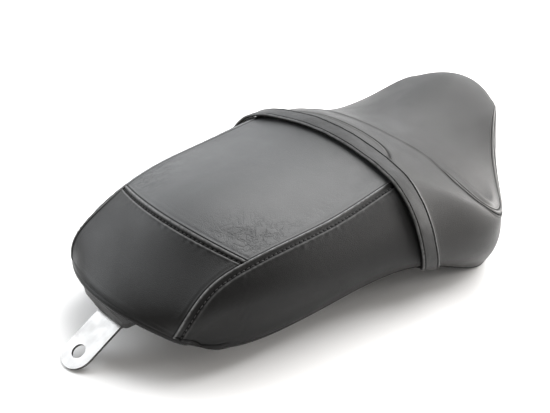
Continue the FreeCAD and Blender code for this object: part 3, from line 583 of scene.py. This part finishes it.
class Nodes:
    """Short names for building one material's node tree."""

    def __init__(self, name, roughness, metallic=0.0, specular=0.5):
        self.material = bpy.data.materials.new(name)
        self.material.use_nodes = True
        self.tree = self.material.node_tree
        self.shader = self.tree.nodes["Principled BSDF"]
        self.shader.inputs["Roughness"].default_value = roughness
        self.shader.inputs["Metallic"].default_value = metallic
        self.shader.inputs["Specular IOR Level"].default_value = specular
        coordinates = self.add("ShaderNodeTexCoord")
        self.place, self.facing = coordinates.outputs["Object"], coordinates.outputs["Normal"]

    def add(self, kind, inputs=(), **settings):
        node = self.tree.nodes.new(kind)
        for key, value in settings.items():
            setattr(node, key, value)
        for key, value in dict(inputs).items():
            self.feed(node.inputs[key], value)
        return node

    def feed(self, socket, value):
        if isinstance(value, bpy.types.NodeSocket):
            self.tree.links.new(value, socket)
        else:
            socket.default_value = value

    def noise(self, scale, detail=3.0, place=None):
        inputs = {"Vector": place or self.place, "Scale": scale, "Detail": detail, "Roughness": 0.55}
        return self.add("ShaderNodeTexNoise", inputs).outputs["Fac"]

    def cells(self, scale, feature="DISTANCE_TO_EDGE", place=None):
        inputs = {"Vector": place or self.place, "Scale": scale}
        return self.add("ShaderNodeTexVoronoi", inputs, feature=feature).outputs["Distance"]

    def shifted(self, scale, amount):
        """The place, pushed about by noise."""
        noise = self.add("ShaderNodeTexNoise", {"Vector": self.place, "Scale": scale, "Detail": 2.0})
        centred = self.vector("SUBTRACT", {0: noise.outputs["Color"], 1: (0.5, 0.5, 0.5)})
        return self.vector("ADD", {0: self.place, 1: self.vector("SCALE", {0: centred, "Scale": amount})})

    def vector(self, operation, inputs):
        return self.add("ShaderNodeVectorMath", inputs, operation=operation).outputs[0]

    def stretched(self, scale):
        return self.add("ShaderNodeMapping", {"Vector": self.place, "Scale": scale}).outputs[0]

    def ranged(self, value, low, high, to_low=0.0, to_high=1.0, soft=False):
        inputs = {"Value": value, "From Min": low, "From Max": high, "To Min": to_low, "To Max": to_high}
        kind = "SMOOTHSTEP" if soft else "LINEAR"
        return self.add("ShaderNodeMapRange", inputs, interpolation_type=kind).outputs["Result"]

    def maths(self, operation, first, second):
        return self.add("ShaderNodeMath", {0: first, 1: second}, operation=operation).outputs[0]

    def marked(self, name):
        return self.add("ShaderNodeAttribute", attribute_name=name).outputs["Fac"]

    def mixed(self, share, first, second):
        inputs = {0: share, 6: first, 7: second}
        return self.add("ShaderNodeMix", inputs, data_type="RGBA").outputs[2]

    def surface(self, colour, roughness, *layers):
        """Colour, roughness and bumps, each a height and its depth in metres, one over the other."""
        self.feed(self.shader.inputs["Base Color"], colour)
        self.feed(self.shader.inputs["Roughness"], roughness)
        normal = None
        for height, depth in layers:
            node = self.add("ShaderNodeBump", {"Height": height, "Distance": depth, "Strength": 1.0})
            if normal is not None:
                self.feed(node.inputs["Normal"], normal)
            normal = node.outputs["Normal"]
        if layers:
            self.feed(self.shader.inputs["Normal"], normal)
        return self.material


def grey(level, warmth=0.0):
    return (level * (1 + warmth), level, level * (1 - warmth), 1.0)


def make_vinyl(name, level, specular, smoothest, roughest, tint=0.0):
    """Black grained vinyl: pebbled grain, pores, fine creases, painted shade in the seam gaps, and ridges
    lightened by wear and a painted highlight.
    """
    n = Nodes(name, smoothest, specular=specular)
    worn_and_highlit, creased, gap = n.marked("wear_and_highlight"), n.marked("crease"), n.marked("gap")
    cloudy = n.noise(11.0, 4.0)
    patchy = n.noise(45.0, 3.0)
    shade = n.mixed(n.ranged(cloudy, 0.3, 0.7), grey(level * 0.88, tint), grey(level * 1.12, tint))
    # Scuffs lighten the ridges: partly real wear, partly a painted highlight.
    scuffs_and_highlight = n.maths("MULTIPLY", worn_and_highlit, n.ranged(n.noise(240.0, 4.0), 0.2, 0.55))
    shade = n.mixed(scuffs_and_highlight, shade, grey(level * 3.0 + 0.17, tint))
    # Painted shade: the seam gaps and needle holes darkened.
    shade = n.mixed(gap, shade, grey(level * 0.15))
    uneven = n.ranged(n.maths("ADD", cloudy, patchy), 0.7, 1.3, smoothest, roughest)
    polished = n.maths("SUBTRACT", uneven, n.maths("MULTIPLY", worn_and_highlit, 0.12))
    folds = n.maths("ABSOLUTE", n.ranged(n.noise(100.0, 5.0), 0.0, 1.0, -1.0, 1.0), 0.0)
    cracks = n.maths("MULTIPLY", n.ranged(folds, 0.0, 0.05, 0.2, 0.0), creased)
    rough = n.maths("ADD", n.maths("ADD", polished, cracks), n.maths("MULTIPLY", gap, 0.5))
    pebbles = n.ranged(n.cells(640.0, place=n.shifted(420.0, 0.0011)), 0.0, 0.24, soft=True)
    pores = n.noise(2600.0, 2.0)
    fold_height = n.maths("MULTIPLY", n.ranged(folds, 0.0, 0.12), creased)
    grain = (patchy, 0.00012), (fold_height, 0.00024), (pebbles, 0.00006), (pores, 0.00004)
    return n.surface(shade, rough, *grain)


def make_plastic(name):
    """Moulded black plastic with a fine spark-eroded texture and dull flow marks."""
    n = Nodes(name, 0.55)
    flow = n.noise(7.0, 5.0, place=n.stretched((1.0, 0.35, 1.0)))
    shade = n.mixed(n.ranged(flow, 0.3, 0.7), grey(0.012), grey(0.026, 0.02))
    rough = n.ranged(n.noise(38.0, 5.0), 0.3, 0.7, 0.45, 0.66)
    return n.surface(shade, rough, (flow, 0.0006), (n.noise(1500.0, 3.0), 0.00010))


def make_steel(name, level, roughness, streak, side_wall_shade=1.0):
    """Plated steel: fine streaks of rolling, duller patches, a little grime, and its upright side walls
    painted darker as shade.
    """
    n = Nodes(name, roughness, metallic=1.0)
    streaks = n.noise(260.0, 4.0, place=n.stretched(streak))
    patches = n.noise(60.0, 5.0)
    clean = n.mixed(n.ranged(streaks, 0.3, 0.7), grey(level * 0.93, 0.01), grey(level, 0.005))
    grime = n.ranged(n.noise(34.0, 6.0), 0.60, 0.78)
    plated = n.mixed(n.maths("MULTIPLY", grime, 0.5), clean, grey(level * 0.45, 0.06))
    # Painted shade: faces that stand upright, the cut side walls, take a darker colour.
    facing_shade_mask = n.maths("ABSOLUTE", n.add("ShaderNodeSeparateXYZ", {0: n.facing}).outputs["Z"], 0.0)
    shade = n.mixed(n.ranged(facing_shade_mask, 0.35, 0.65), grey(level * side_wall_shade, 0.03), plated)
    rough = n.ranged(patches, 0.3, 0.7, roughness - 0.06, roughness + 0.12)
    return n.surface(shade, rough, (patches, 0.0002), (streaks, 0.00004))


def make_rubber(name):
    """Matt black rubber, paler where it has bloomed."""
    n = Nodes(name, 0.8, specular=0.4)
    bloom = n.noise(80.0, 5.0)
    shade = n.mixed(n.ranged(bloom, 0.4, 0.75), grey(0.014), grey(0.045, 0.03))
    rough = n.ranged(bloom, 0.3, 0.7, 0.72, 0.9)
    return n.surface(shade, rough, (bloom, 0.0003), (n.noise(1200.0, 2.0), 0.00008))


def make_thread(name):
    """Black bonded thread with its twist."""
    n = Nodes(name, 0.45)
    wave = {"Vector": n.place, "Scale": 420.0, "Distortion": 1.5}
    twist = n.add("ShaderNodeTexWave", wave, bands_direction="DIAGONAL").outputs["Fac"]
    shade = n.mixed(twist, grey(0.008), grey(0.035, 0.02))
    return n.surface(shade, n.ranged(n.noise(700.0), 0.3, 0.7, 0.38, 0.6), (twist, 0.00012))


def make_foam(name):
    """Moulded grey foam with its open cells."""
    n = Nodes(name, 0.95, specular=0.2)
    shade = n.mixed(n.noise(22.0, 4.0), grey(0.16, 0.02), grey(0.26, 0.05))
    rough = n.ranged(n.noise(90.0), 0.3, 0.7, 0.88, 1.0)
    return n.surface(shade, rough, (n.cells(900.0, "F1"), 0.0004), (n.noise(60.0), 0.0008))


def make_floor(name):
    """Matt white table, very slightly uneven."""
    n = Nodes(name, 0.6, specular=0.3)
    uneven = n.noise(3.0, 3.0)
    shade = n.mixed(uneven, grey(0.86, 0.004), grey(0.89, 0.002))
    return n.surface(shade, n.ranged(uneven, 0.3, 0.7, 0.55, 0.65))


# The same black vinyl in lit and shaded copies: each panel's level and specular are set for how the light
# falls on it, a painted sheen on the pillion, hips and rider top, painted shade on the rear panel, the sides
# and the strap.
VINYL_PILLION = make_vinyl("vinyl_pillion", 0.021, 0.58, 0.36, 0.44, -0.05)
VINYL_REAR = make_vinyl("vinyl_rear", 0.007, 0.25, 0.33, 0.42)
VINYL_SIDE = make_vinyl("vinyl_side", 0.008, 0.20, 0.38, 0.48)
VINYL_HIP = make_vinyl("vinyl_hip", 0.018, 0.41, 0.40, 0.50, 0.03)
VINYL_STRAP = make_vinyl("vinyl_strap", 0.011, 0.36, 0.38, 0.46)
PLASTIC = make_plastic("pan_plastic_black")
STEEL_TAB = make_steel("steel_tab", 0.46, 0.42, (0.12, 1.0, 0.12), side_wall_shade=0.25)
STEEL_FIXINGS = make_steel("steel_fixings", 0.62, 0.40, (1.0, 1.0, 0.3))
STEEL_STAPLES = make_steel("steel_staples", 0.66, 0.36, (0.3, 1.0, 1.0))
RUBBER = make_rubber("rubber_black")
THREAD = make_thread("thread_black")
FOAM = make_foam("foam_grey")


# ---- swell of the cover between its seams

# Cloth of the cover while it swells, how far inside the cover it starts and how far out it may come, in mm.
CLOTH = {
    "quality": 6, "mass": 0.2, "tension_stiffness": 12, "compression_stiffness": 12, "shear_stiffness": 6,
    "bending_stiffness": 6, "shrink_min": 0.004, "use_pressure": True, "uniform_pressure_force": 6,
    "vertex_group_mass": "held",
}
SWELL_START = 1.5
SWELL_MOST = 1.8
SETTLING_FRAMES = 20


def simulate_swell():
    """Millimetres by which a cloth held at its seams and hem, with air behind it, moves out."""
    rows, columns = SWELL.shape
    along, across = np.meshgrid(np.linspace(0, END, rows), np.linspace(-1, 1, columns), indexing="ij")
    outward = normals(cover, along, across)
    rest = cover(along, across)
    side = beyond_side_seam(along, across)
    near = np.minimum.reduce([
        np.where(along < BAND, np.abs(side), 1e3),
        np.where(side < 0, np.abs(ahead_of(REAR_SEAM, along, across)), 1e3),
        np.abs(rider_edge(along, across)),
        np.minimum(np.minimum(along, END - along), (1 - np.abs(across)) * 200),
    ])
    strap = smooth(along, STRAP_REAR - 6, STRAP_REAR) * (1 - smooth(along, STRAP_FRONT, STRAP_FRONT + 6))
    free = smooth(near, 2, 16) * (1 - strap)
    pad = new_mesh("swell", rest - outward * (SWELL_START * free)[..., None], grid_faces(rows, columns))
    held = np.flatnonzero(np.maximum(near < 4.0, strap > 0.5)).tolist()
    pad.vertex_groups.new(name="held").add(held, 1.0, "REPLACE")
    cloth = pad.modifiers.new("cloth", "CLOTH")
    for key, value in CLOTH.items():
        setattr(cloth.settings, key, value)
    cloth.settings.effector_weights.gravity = 0
    for frame_number in range(1, SETTLING_FRAMES + 1):
        bpy.context.scene.frame_set(frame_number)
    shaped = pad.evaluated_get(bpy.context.evaluated_depsgraph_get()).to_mesh()
    settled = np.empty(len(shaped.vertices) * 3)
    shaped.vertices.foreach_get("co", settled)
    bpy.context.scene.frame_set(1)
    bpy.data.objects.remove(pad)
    moved = settled.reshape(rows, columns, 3) * 1000 + ORIGIN - rest
    return SWELL_MOST * np.tanh((moved * outward).sum(-1) / 2.6)


SWELL = simulate_swell()


# ---- cover panels

# Width of the strip of close columns beside the side seam: on top and on the hips, on the side panels, and
# behind the rider. Steps between rows on top and on the sides. Columns beyond the strip.
TOP_STRIP, SIDE_STRIP, RIDER_STRIP = 16.0, 15.0, 30.0
TOP_STEP, SIDE_STEP = 2.1, 0.85
TOP_COLUMNS, REAR_COLUMNS, SIDE_COLUMNS, HIP_COLUMNS = 34, 100, 36, 20

# First and last place of the cover that is not rolled under.
REAR_START = 3.4
NOSE_STOP = END - 2.6


def columns_from_seam(strip, full, count):
    """Distances from the side seam at each place: close together over the strip, then in equal shares."""
    near = spread(0.0, strip, 2.0, (0.0, SIDE_STITCH), 0.5, 3.5)
    rest = strip + (full[:, None] - strip) * (np.arange(1, count + 1) / count)[None, :]
    return np.concatenate([np.broadcast_to(near, (len(full), len(near))), rest], 1)


def half_top(along):
    """Millimetres over the cover from its spine to the side seam."""
    return -beyond_side_seam(along, np.zeros_like(along))


def side_depth(along):
    """Millimetres over the cover from the side seam to the roll of the hem."""
    return beyond_side_seam(along, np.ones_like(along)) - HEM_ROLL


def both_sides(left):
    """Shares across the whole seat, from those of the left half."""
    left[:, 0] = 0
    return np.concatenate([-left[:, :0:-1], left], 1)


def bent(along, across):
    """Rows of a panel next to the rider's seam, bent to follow it."""
    return along + (rider_place(across) - RIDER_SEAM) * bump_at(along, RIDER_SEAM, 42)


def cover_piece(name, grids, node, material):
    """One piece of the cover over one or more grids of places and shares across."""
    points, faces, marks = [], [], []
    for along, across in grids:
        height, gap, ridge_wear_highlight = detail(along, across)
        base = sum(len(part) for part in points)
        points.append(off(cover, along, across, height).reshape(-1, 3))
        faces += [[base + corner for corner in quad] for quad in grid_faces(*across.shape)]
        marks.append(np.stack([gap, ridge_wear_highlight, crease_zone(along, across)]).reshape(3, -1))
    piece = new_piece(name, np.concatenate(points), faces, material)
    mark(piece, *np.concatenate(marks, 1))
    solid = piece.modifiers.new("cover_thickness", "SOLIDIFY")
    solid.thickness = COVER_THICKNESS / 1000
    solid.offset = -1
    solid.use_rim = True
    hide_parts(node)


def top_panel(name, start, end, dense, node, material, count=TOP_COLUMNS):
    """Panel between the two side seams, its rows closer together near the dense places."""
    along = spread(start, end, TOP_STEP, dense)
    beyond = -columns_from_seam(TOP_STRIP, half_top(along), count)
    across = both_sides(across_at(along[:, None], beyond)[:, ::-1])
    cover_piece(name, [(bent(along[:, None], across), across)], node, material)


def side_panel(name, side, node):
    """Panel down one side, from the side seam to just above the hem."""
    along = spread(REAR_START, BAND, SIDE_STEP)
    beyond = columns_from_seam(SIDE_STRIP, side_depth(along), SIDE_COLUMNS)
    across = side * across_at(along[:, None], beyond)[:, ::side]
    cover_piece(name, [(np.broadcast_to(along[:, None], across.shape), across)], node, VINYL_SIDE)


def hip_panel():
    """U-shaped panel: over the seat behind the rider, down both hips and forward as the thigh skirts."""
    behind = spread(BAND, RIDER_SEAM, TOP_STEP, (372, 382, 391, RIDER_SEAM, RIDER_SEAM - 10))
    ahead = spread(RIDER_SEAM, NOSE_STOP, TOP_STEP, (RIDER_SEAM, RIDER_SEAM + 8))
    inside = columns_from_seam(RIDER_STRIP, half_top(behind), HIP_COLUMNS)[:, :0:-1]
    down, skirt = (columns_from_seam(TOP_STRIP, side_depth(part), HIP_COLUMNS) for part in (behind, ahead))
    over = both_sides(across_at(behind[:, None], np.concatenate([-inside, down], 1)))
    skirt = across_at(ahead[:, None], skirt)
    grids = [(behind, over), (ahead, skirt), (ahead, -skirt[:, ::-1])]
    grids = [(bent(along[:, None], across), across) for along, across in grids]
    cover_piece("cover_hip", grids, "hip_panel", VINYL_HIP)


top_panel("cover_rear", REAR_START, REAR_SEAM, (REAR_SEAM,), "rear_panel", VINYL_REAR, REAR_COLUMNS)
top_panel("cover_pillion_top", REAR_SEAM, BAND, (REAR_SEAM,), "pillion_top_panel", VINYL_PILLION)
side_panel("cover_left_side", 1, "left_side_panel")
side_panel("cover_right_side", -1, "right_side_panel")
RIDER_ROWS = (RIDER_SEAM, RIDER_SEAM + 10)
top_panel("cover_rider_top", RIDER_SEAM, NOSE_STOP, RIDER_ROWS, "rider_top_panel", VINYL_HIP)
hip_panel()


# ---- turned hem


# Points along each side, the rear end and the nose; rows round the roll; rows over the fold, as shares of it.
SIDE_POINTS, REAR_POINTS, NOSE_POINTS = 330, 120, 70
ROLL_ROWS = 10
FOLD_ROWS = (0.15, 0.35, 0.6, 0.8, 1.0)


def make_hem():
    """Hem of the cover: rolled round the edge of the pan, then folded flat under it."""
    counts = (SIDE_POINTS, REAR_POINTS, NOSE_POINTS)
    side, rear, nose = (np.linspace(0, 1, count, endpoint=False) for count in counts)
    along = np.concatenate([side, np.ones(NOSE_POINTS), 1 - side, np.zeros(REAR_POINTS)])
    across = np.concatenate([np.zeros(SIDE_POINTS), nose, np.ones(SIDE_POINTS), 1 - rear])
    table = np.linspace(REAR_START, NOSE_STOP, 260)
    inside = across_at(table, side_depth(table))
    place_in = REAR_START + (NOSE_STOP - REAR_START) * along
    place_out = END * along
    across_out = 2 * across - 1
    across_in = across_out * np.interp(place_in, table, inside)
    start = skin(place_in, across_in)
    turn = out_of_hem(place_out, across_out, HEM_BULGE)
    foot = underside(place_out, across_out)
    rows = [start]
    for share in np.linspace(0, 1, ROLL_ROWS)[1:]:
        rows.append(start * (1 - share) ** 2 + turn * 2 * share * (1 - share) + foot * share ** 2)
    for share in FOLD_ROWS:
        place = place_out + (np.clip(place_out, FOLD_REACH, END - FOLD_REACH) - place_out) * share
        point = underside(place, across_out * (1 - FOLD_SHARE * share))
        lift = 0.35 * (1 + ripple(point, 30.0, 11)) * share
        rows.append(point + np.array([0, 0, 1]) * np.clip(lift, 0, 1.2)[:, None])
    rows.append(rows[-1] + np.array([0, 0, FOLD_EDGE]))
    points = np.stack(rows)
    piece = new_piece("cover_turned_hem", points, grid_faces(*points.shape[:2], looped=True), VINYL_SIDE)
    mark(piece, gap=0.0, wear_and_highlight=0.0, crease=0.15)
    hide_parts("cover_hem_fold")


make_hem()


# ---- foam


def make_foam_block():
    """Foam under the cover, closed by its flat underside on the pan."""
    places = np.linspace(FOAM_REAR, FOAM_NOSE, 110)
    along, across = np.meshgrid(places, np.linspace(-FOAM_SHARE, FOAM_SHARE, 57), indexing="ij")
    top = off(cover, along, across, -FOAM_BELOW_COVER)
    bottom = off(underside, along, across, FOAM_ABOVE_UNDERSIDE)
    under = along.size
    grid = np.arange(under).reshape(along.shape)
    upper = grid_faces(*along.shape)
    lower = [[under + corner for corner in quad[::-1]] for quad in upper]
    ring = np.concatenate([grid[:, 0], grid[-1, 1:], grid[-2::-1, -1], grid[0, -2:0:-1]]).tolist()
    walls = [[two, one, under + one, under + two] for one, two in zip(ring, ring[1:] + ring[:1])]
    piece = new_piece("foam_block", np.stack([top, bottom]), upper + lower + walls, FOAM)
    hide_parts("foam_cushion")


make_foam_block()


# ---- grab strap

# Shares across the cover at the strap's control points, where its pull to the hem starts, and shares across
# the underside at its tucked ends.
SHARES = np.array([0.167, 0.333, 0.5, 0.583, 0.667, 0.75, 0.833, 0.917, 1.0])
STRAP_SHARES = np.concatenate([-SHARES[::-1], [0.0], SHARES])
PULL_START = 0.83
TUCKS = np.array([0.96, 0.88, 0.8])
STRAP_ROWS = 300


def strap_line(place, height, pull):
    """Control points of the strap, at a height over the cover, from under the right hem to the left."""
    pulled = height - pull * np.maximum(0, (np.abs(STRAP_SHARES) - PULL_START) / (1 - PULL_START))
    over = off(cover, place, STRAP_SHARES, pulled)
    height = height - pull
    ends = []
    for side in (-1.0, 1.0):
        tucked = off(underside, place, TUCKS * side, -height)
        ends.append(np.concatenate([out_of_hem(place, side, height)[None], tucked]))
    return np.concatenate([ends[0][::-1], over, ends[1]])


def strap_layers():
    """The strap's lower and upper face at its rear edge, middle and front edge."""
    places = (STRAP_REAR, BAND, STRAP_FRONT)
    gaps = (STRAP_GAP + STRAP_TILT, STRAP_GAP, STRAP_GAP - STRAP_TILT)
    pull = STRAP_PULL + STRAP_SQUEEZE
    upper = [strap_line(place, gap + STRAP_THICKNESS, pull) for place, gap in zip(places, gaps)]
    lower = [strap_line(place, gap, STRAP_PULL) for place, gap in zip(places, gaps)]
    girth = running_length(upper[1])
    shares, at = girth / girth[-1], np.linspace(0, 1, STRAP_ROWS)
    return [
        [along_spline(shares, line, bends(shares, line), at) for line in layer]
        for layer in (lower, upper)
    ]


STRAP_LOWER, STRAP_UPPER = strap_layers()


def across_strap(lines, share):
    """Point between the three lines of a layer, share 0 at the rear edge and 1 at the front."""
    rear, middle, front = lines
    return (
        rear * (2 * (share - 0.5) * (share - 1))
        + middle * (4 * share * (1 - share))
        + front * (2 * share * (share - 0.5))
    )


def strap_point(share, level):
    """Line along the strap at a share of its width, level 0 underneath and 1 on top."""
    lower = across_strap(STRAP_LOWER, share)
    return lower + (across_strap(STRAP_UPPER, share) - lower) * level


STRAP_WIDTH = float(length_of(STRAP_UPPER[2] - STRAP_UPPER[0]).mean())
STRAP_STITCH = 3.4
STRAP_STITCH_PITCH = 4.8


def make_strap():
    """Strap of two layers: rolled edges, a stitched groove along each, a slight crown between."""
    roll = STRAP_THICKNESS / 2
    grooves = (STRAP_STITCH, STRAP_WIDTH - STRAP_STITCH)
    front = STRAP_WIDTH - roll
    half_turn = np.radians(np.linspace(-90, 90, 9)[1:-1])
    outline = [(distance, 0.0) for distance in np.linspace(roll, front, 7)]
    outline += [(front + roll * math.cos(turn), 0.5 + 0.5 * math.sin(turn)) for turn in half_turn]
    for distance in spread(roll, front, 1.6, grooves, 0.35, 1.6)[::-1]:
        edge = min(distance, STRAP_WIDTH - distance)
        height = profile(edge, (0.45, 1.5, 0.9), (-1.2, STRAP_STITCH, 0.65))
        height += 0.35 * math.sin(math.pi * distance / STRAP_WIDTH)
        outline.append((distance, 1 + height / STRAP_THICKNESS))
    outline += [(roll - roll * math.cos(turn), 0.5 - 0.5 * math.sin(turn)) for turn in half_turn]
    points = np.stack([strap_point(distance / STRAP_WIDTH, level) for distance, level in outline], 1)
    ring = len(outline)
    waves = 0.18 * ripple(points, 34.0, 21) + 0.06 * ripple(points, 11.0, 22)
    lift = unit(STRAP_UPPER[1] - STRAP_LOWER[1])[:, None, :]
    points = points + lift * waves[..., None]
    faces = [quad[::-1] for quad in grid_faces(STRAP_ROWS, ring, looped=True)]
    faces.append(list(range(ring)))
    faces.append([(STRAP_ROWS - 1) * ring + i for i in range(ring)][::-1])
    piece = new_piece("strap_two_layers", points, faces, VINYL_STRAP)
    distances, levels = np.array(outline).T
    edge = np.minimum(distances, STRAP_WIDTH - distances)
    # Wear with a painted highlight on the rolled edge beads.
    worn_and_highlit = 0.55 * bump_at(edge, 1.2, 1.2) * (levels > 0.6)
    # Painted shade in the stitched grooves.
    painted_groove_shade = bump_at(edge, STRAP_STITCH, 0.8) * (levels > 0.6)
    mark(piece, gap=painted_groove_shade, wear_and_highlight=worn_and_highlit, crease=0.1)
    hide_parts("grab_strap")


make_strap()


# ---- stitches


def stitch_row(name, path, outward, reach, count, length, radius):
    """One row of thread: short capsules along a path, their ends drawn into the cover."""
    spots = (np.arange(count) + 0.5) * reach[-1] / count

    def at(values, where):
        return np.stack([np.interp(where, reach, values[:, k]) for k in range(3)], -1)

    centre = at(path, spots)
    ahead = unit(at(path, spots + 0.8) - at(path, spots - 0.8))
    up = unit(at(outward, spots))
    beside = unit(np.cross(up, ahead))
    rings, sides = 7, 6
    points = []
    for s in np.linspace(-1, 1, rings):
        arch = math.cos(s * math.pi / 2)
        height = 0.75 * arch - 0.35
        girth = radius * (0.55 + 0.45 * arch)
        middle = centre + ahead * (s * length / 2) + up * height
        for k in range(sides):
            turn = 2 * math.pi * k / sides
            points.append(middle + (beside * math.cos(turn) + up * math.sin(turn)) * girth)
    one = [[quad[0], quad[3], quad[2], quad[1]] for quad in grid_faces(rings, sides, looped=True)]
    one += [list(range(sides)), [(rings - 1) * sides + k for k in range(sides)][::-1]]
    firsts = [i * rings * sides for i in range(count)]
    faces = [[first + corner for corner in face] for first in firsts for face in one]
    piece = new_piece(name, np.stack(points, 1), faces, THREAD)


def cover_stitches(name, row, side, length, radius=0.42):
    """Stitches of one row of the cover."""
    across = row.across * side
    outward = normals(cover, row.along, across)
    path = skin(row.along, across) + outward * 0.25
    stitch_row(name, path, outward, row.reach, row.count, length, radius)


def strap_stitches(name, distance):
    """Stitches along the part of the strap that lies on the seat, at a distance from its rear edge."""
    share = distance / STRAP_WIDTH
    lower, upper = across_strap(STRAP_LOWER, share)[6:-6], across_strap(STRAP_UPPER, share)[6:-6]
    outward = unit(upper - lower)
    path = upper - outward * 0.45
    reach = running_length(path)
    stitch_row(name, path, outward, reach, int(reach[-1] / STRAP_STITCH_PITCH), 3.3, 0.32)


cover_stitches("thread_left_side", SIDE_ROW, 1, 4.3)
cover_stitches("thread_right_side", SIDE_ROW, -1, 4.3)
cover_stitches("thread_rear", REAR_ROW, 1, 4.3)
cover_stitches("thread_rider", RIDER_ROW, 1, 3.1, 0.34)
strap_stitches("thread_strap_rear", STRAP_STITCH)
strap_stitches("thread_strap_front", STRAP_WIDTH - STRAP_STITCH)


# ---- pieces that stay as the CAD has them

BUMPERS = [f"{end}_{side}_bumper" for end in ("rear", "middle", "front") for side in ("left", "right")]
STRAP_PLATES = ["left_strap_plate", "right_strap_plate"]
CAD_LOOKS = [
    (PLASTIC, ["base_pan"]),
    (STEEL_TAB, ["rear_bracket", "front_tongue"]),
    (STEEL_FIXINGS, ["bracket_rivets", "tongue_rivets", "strap_screws"] + STRAP_PLATES),
    (STEEL_STAPLES, ["cover_staples"]),
    (RUBBER, BUMPERS),
]
for material, names in CAD_LOOKS:
    for name in names:
        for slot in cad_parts[name].material_slots:
            slot.material = material


# ---- table, light and camera

TABLE_HALF = 12.0

# Softboxes: azimuth and elevation, distance from SEAT_MIDDLE, width, height, radiance, warmth.
SEAT_MIDDLE = Vector((0, 0, 0.1))
SOFTBOXES = {
    "overhead": (0, 60, 2.6, 3.0, 3.0, 4.5, 0.0),
    "left_box": (90, 50, 2.6, 2.6, 2.6, 1.57, -0.03),
    "far_screen": (48, 20, 3.0, 4.6, 1.6, 1.75, -0.03),
    "far_left_screen": (120, 25, 2.6, 2.0, 1.4, 3.7, -0.03),
    "front_screen": (-22, 12, 2.6, 2.0, 1.0, 12.3, 0.02),
    "right_screen": (-65, 22, 2.6, 2.0, 1.4, 0.63, 0.02),
}

# The camera looks forward and down, rolled about its line of sight: metres, degrees, millimetres.
CAMERA_PLACE = (-0.7105, -0.6305, 0.5955)
CAMERA_AZIMUTH, CAMERA_DOWN, CAMERA_ROLL = 43.7, 29.0, 4.3
CAMERA_LENS, CAMERA_SENSOR = 57.6, 36.0
CAMERA_CLIP = (0.02, 50)


def make_table():
    """White table under the seat."""
    mesh = bpy.data.meshes.new("table")
    corners = [(x * TABLE_HALF, y * TABLE_HALF, 0) for x, y in ((-1, -1), (1, -1), (1, 1), (-1, 1))]
    mesh.from_pydata(corners, [], [(0, 1, 2, 3)])
    mesh.materials.append(make_floor("table_white"))
    floor = new_object("table", mesh)


def towards(azimuth, elevation):
    """Unit vector at angles in degrees. Azimuth 0 is ahead of the seat, 90 on its left."""
    turn, lift = math.radians(azimuth), math.radians(elevation)
    return Vector((math.cos(turn) * math.cos(lift), math.sin(turn) * math.cos(lift), math.sin(lift)))


def softbox(name, azimuth, elevation, distance, width, height, radiance, warmth):
    """Rectangular light of even brightness that looks at the seat."""
    away = towards(azimuth, elevation)
    light = bpy.data.lights.new(name, "AREA")
    light.shape = "RECTANGLE"
    light.size, light.size_y = width, height
    light.energy = radiance * math.pi * width * height
    light.color = (1 + warmth, 1.0, 1 - warmth)
    lamp = new_object(name, light)
    lamp.location = away * distance + SEAT_MIDDLE
    lamp.rotation_mode = "QUATERNION"
    lamp.rotation_quaternion = (-away).to_track_quat("-Z", "Y")


def make_light():
    """Softboxes and an even, warm surrounding."""
    world = bpy.data.worlds.new("studio")
    world.use_nodes = True
    background = world.node_tree.nodes["Background"].inputs
    background["Color"].default_value = (1.0, 0.95, 0.89, 1.0)
    background["Strength"].default_value = 0.29
    bpy.context.scene.world = world
    for name, settings in SOFTBOXES.items():
        softbox(name, *settings)


def make_camera():
    """Camera behind the seat and to its right, above it."""
    camera = bpy.data.cameras.new("camera")
    camera.lens, camera.sensor_width = CAMERA_LENS, CAMERA_SENSOR
    camera.clip_start, camera.clip_end = CAMERA_CLIP
    eye = new_object("camera", camera)
    back = towards(CAMERA_AZIMUTH + 180, CAMERA_DOWN)
    level = back.to_track_quat("Z", "Y").to_matrix().to_4x4()
    roll = Matrix.Rotation(math.radians(CAMERA_ROLL), 4, back)
    eye.matrix_world = Matrix.Translation(CAMERA_PLACE) @ roll @ level
    bpy.context.scene.camera = eye


make_table()
make_light()
make_camera()
bpy.context.scene.view_settings.view_transform = "Standard"
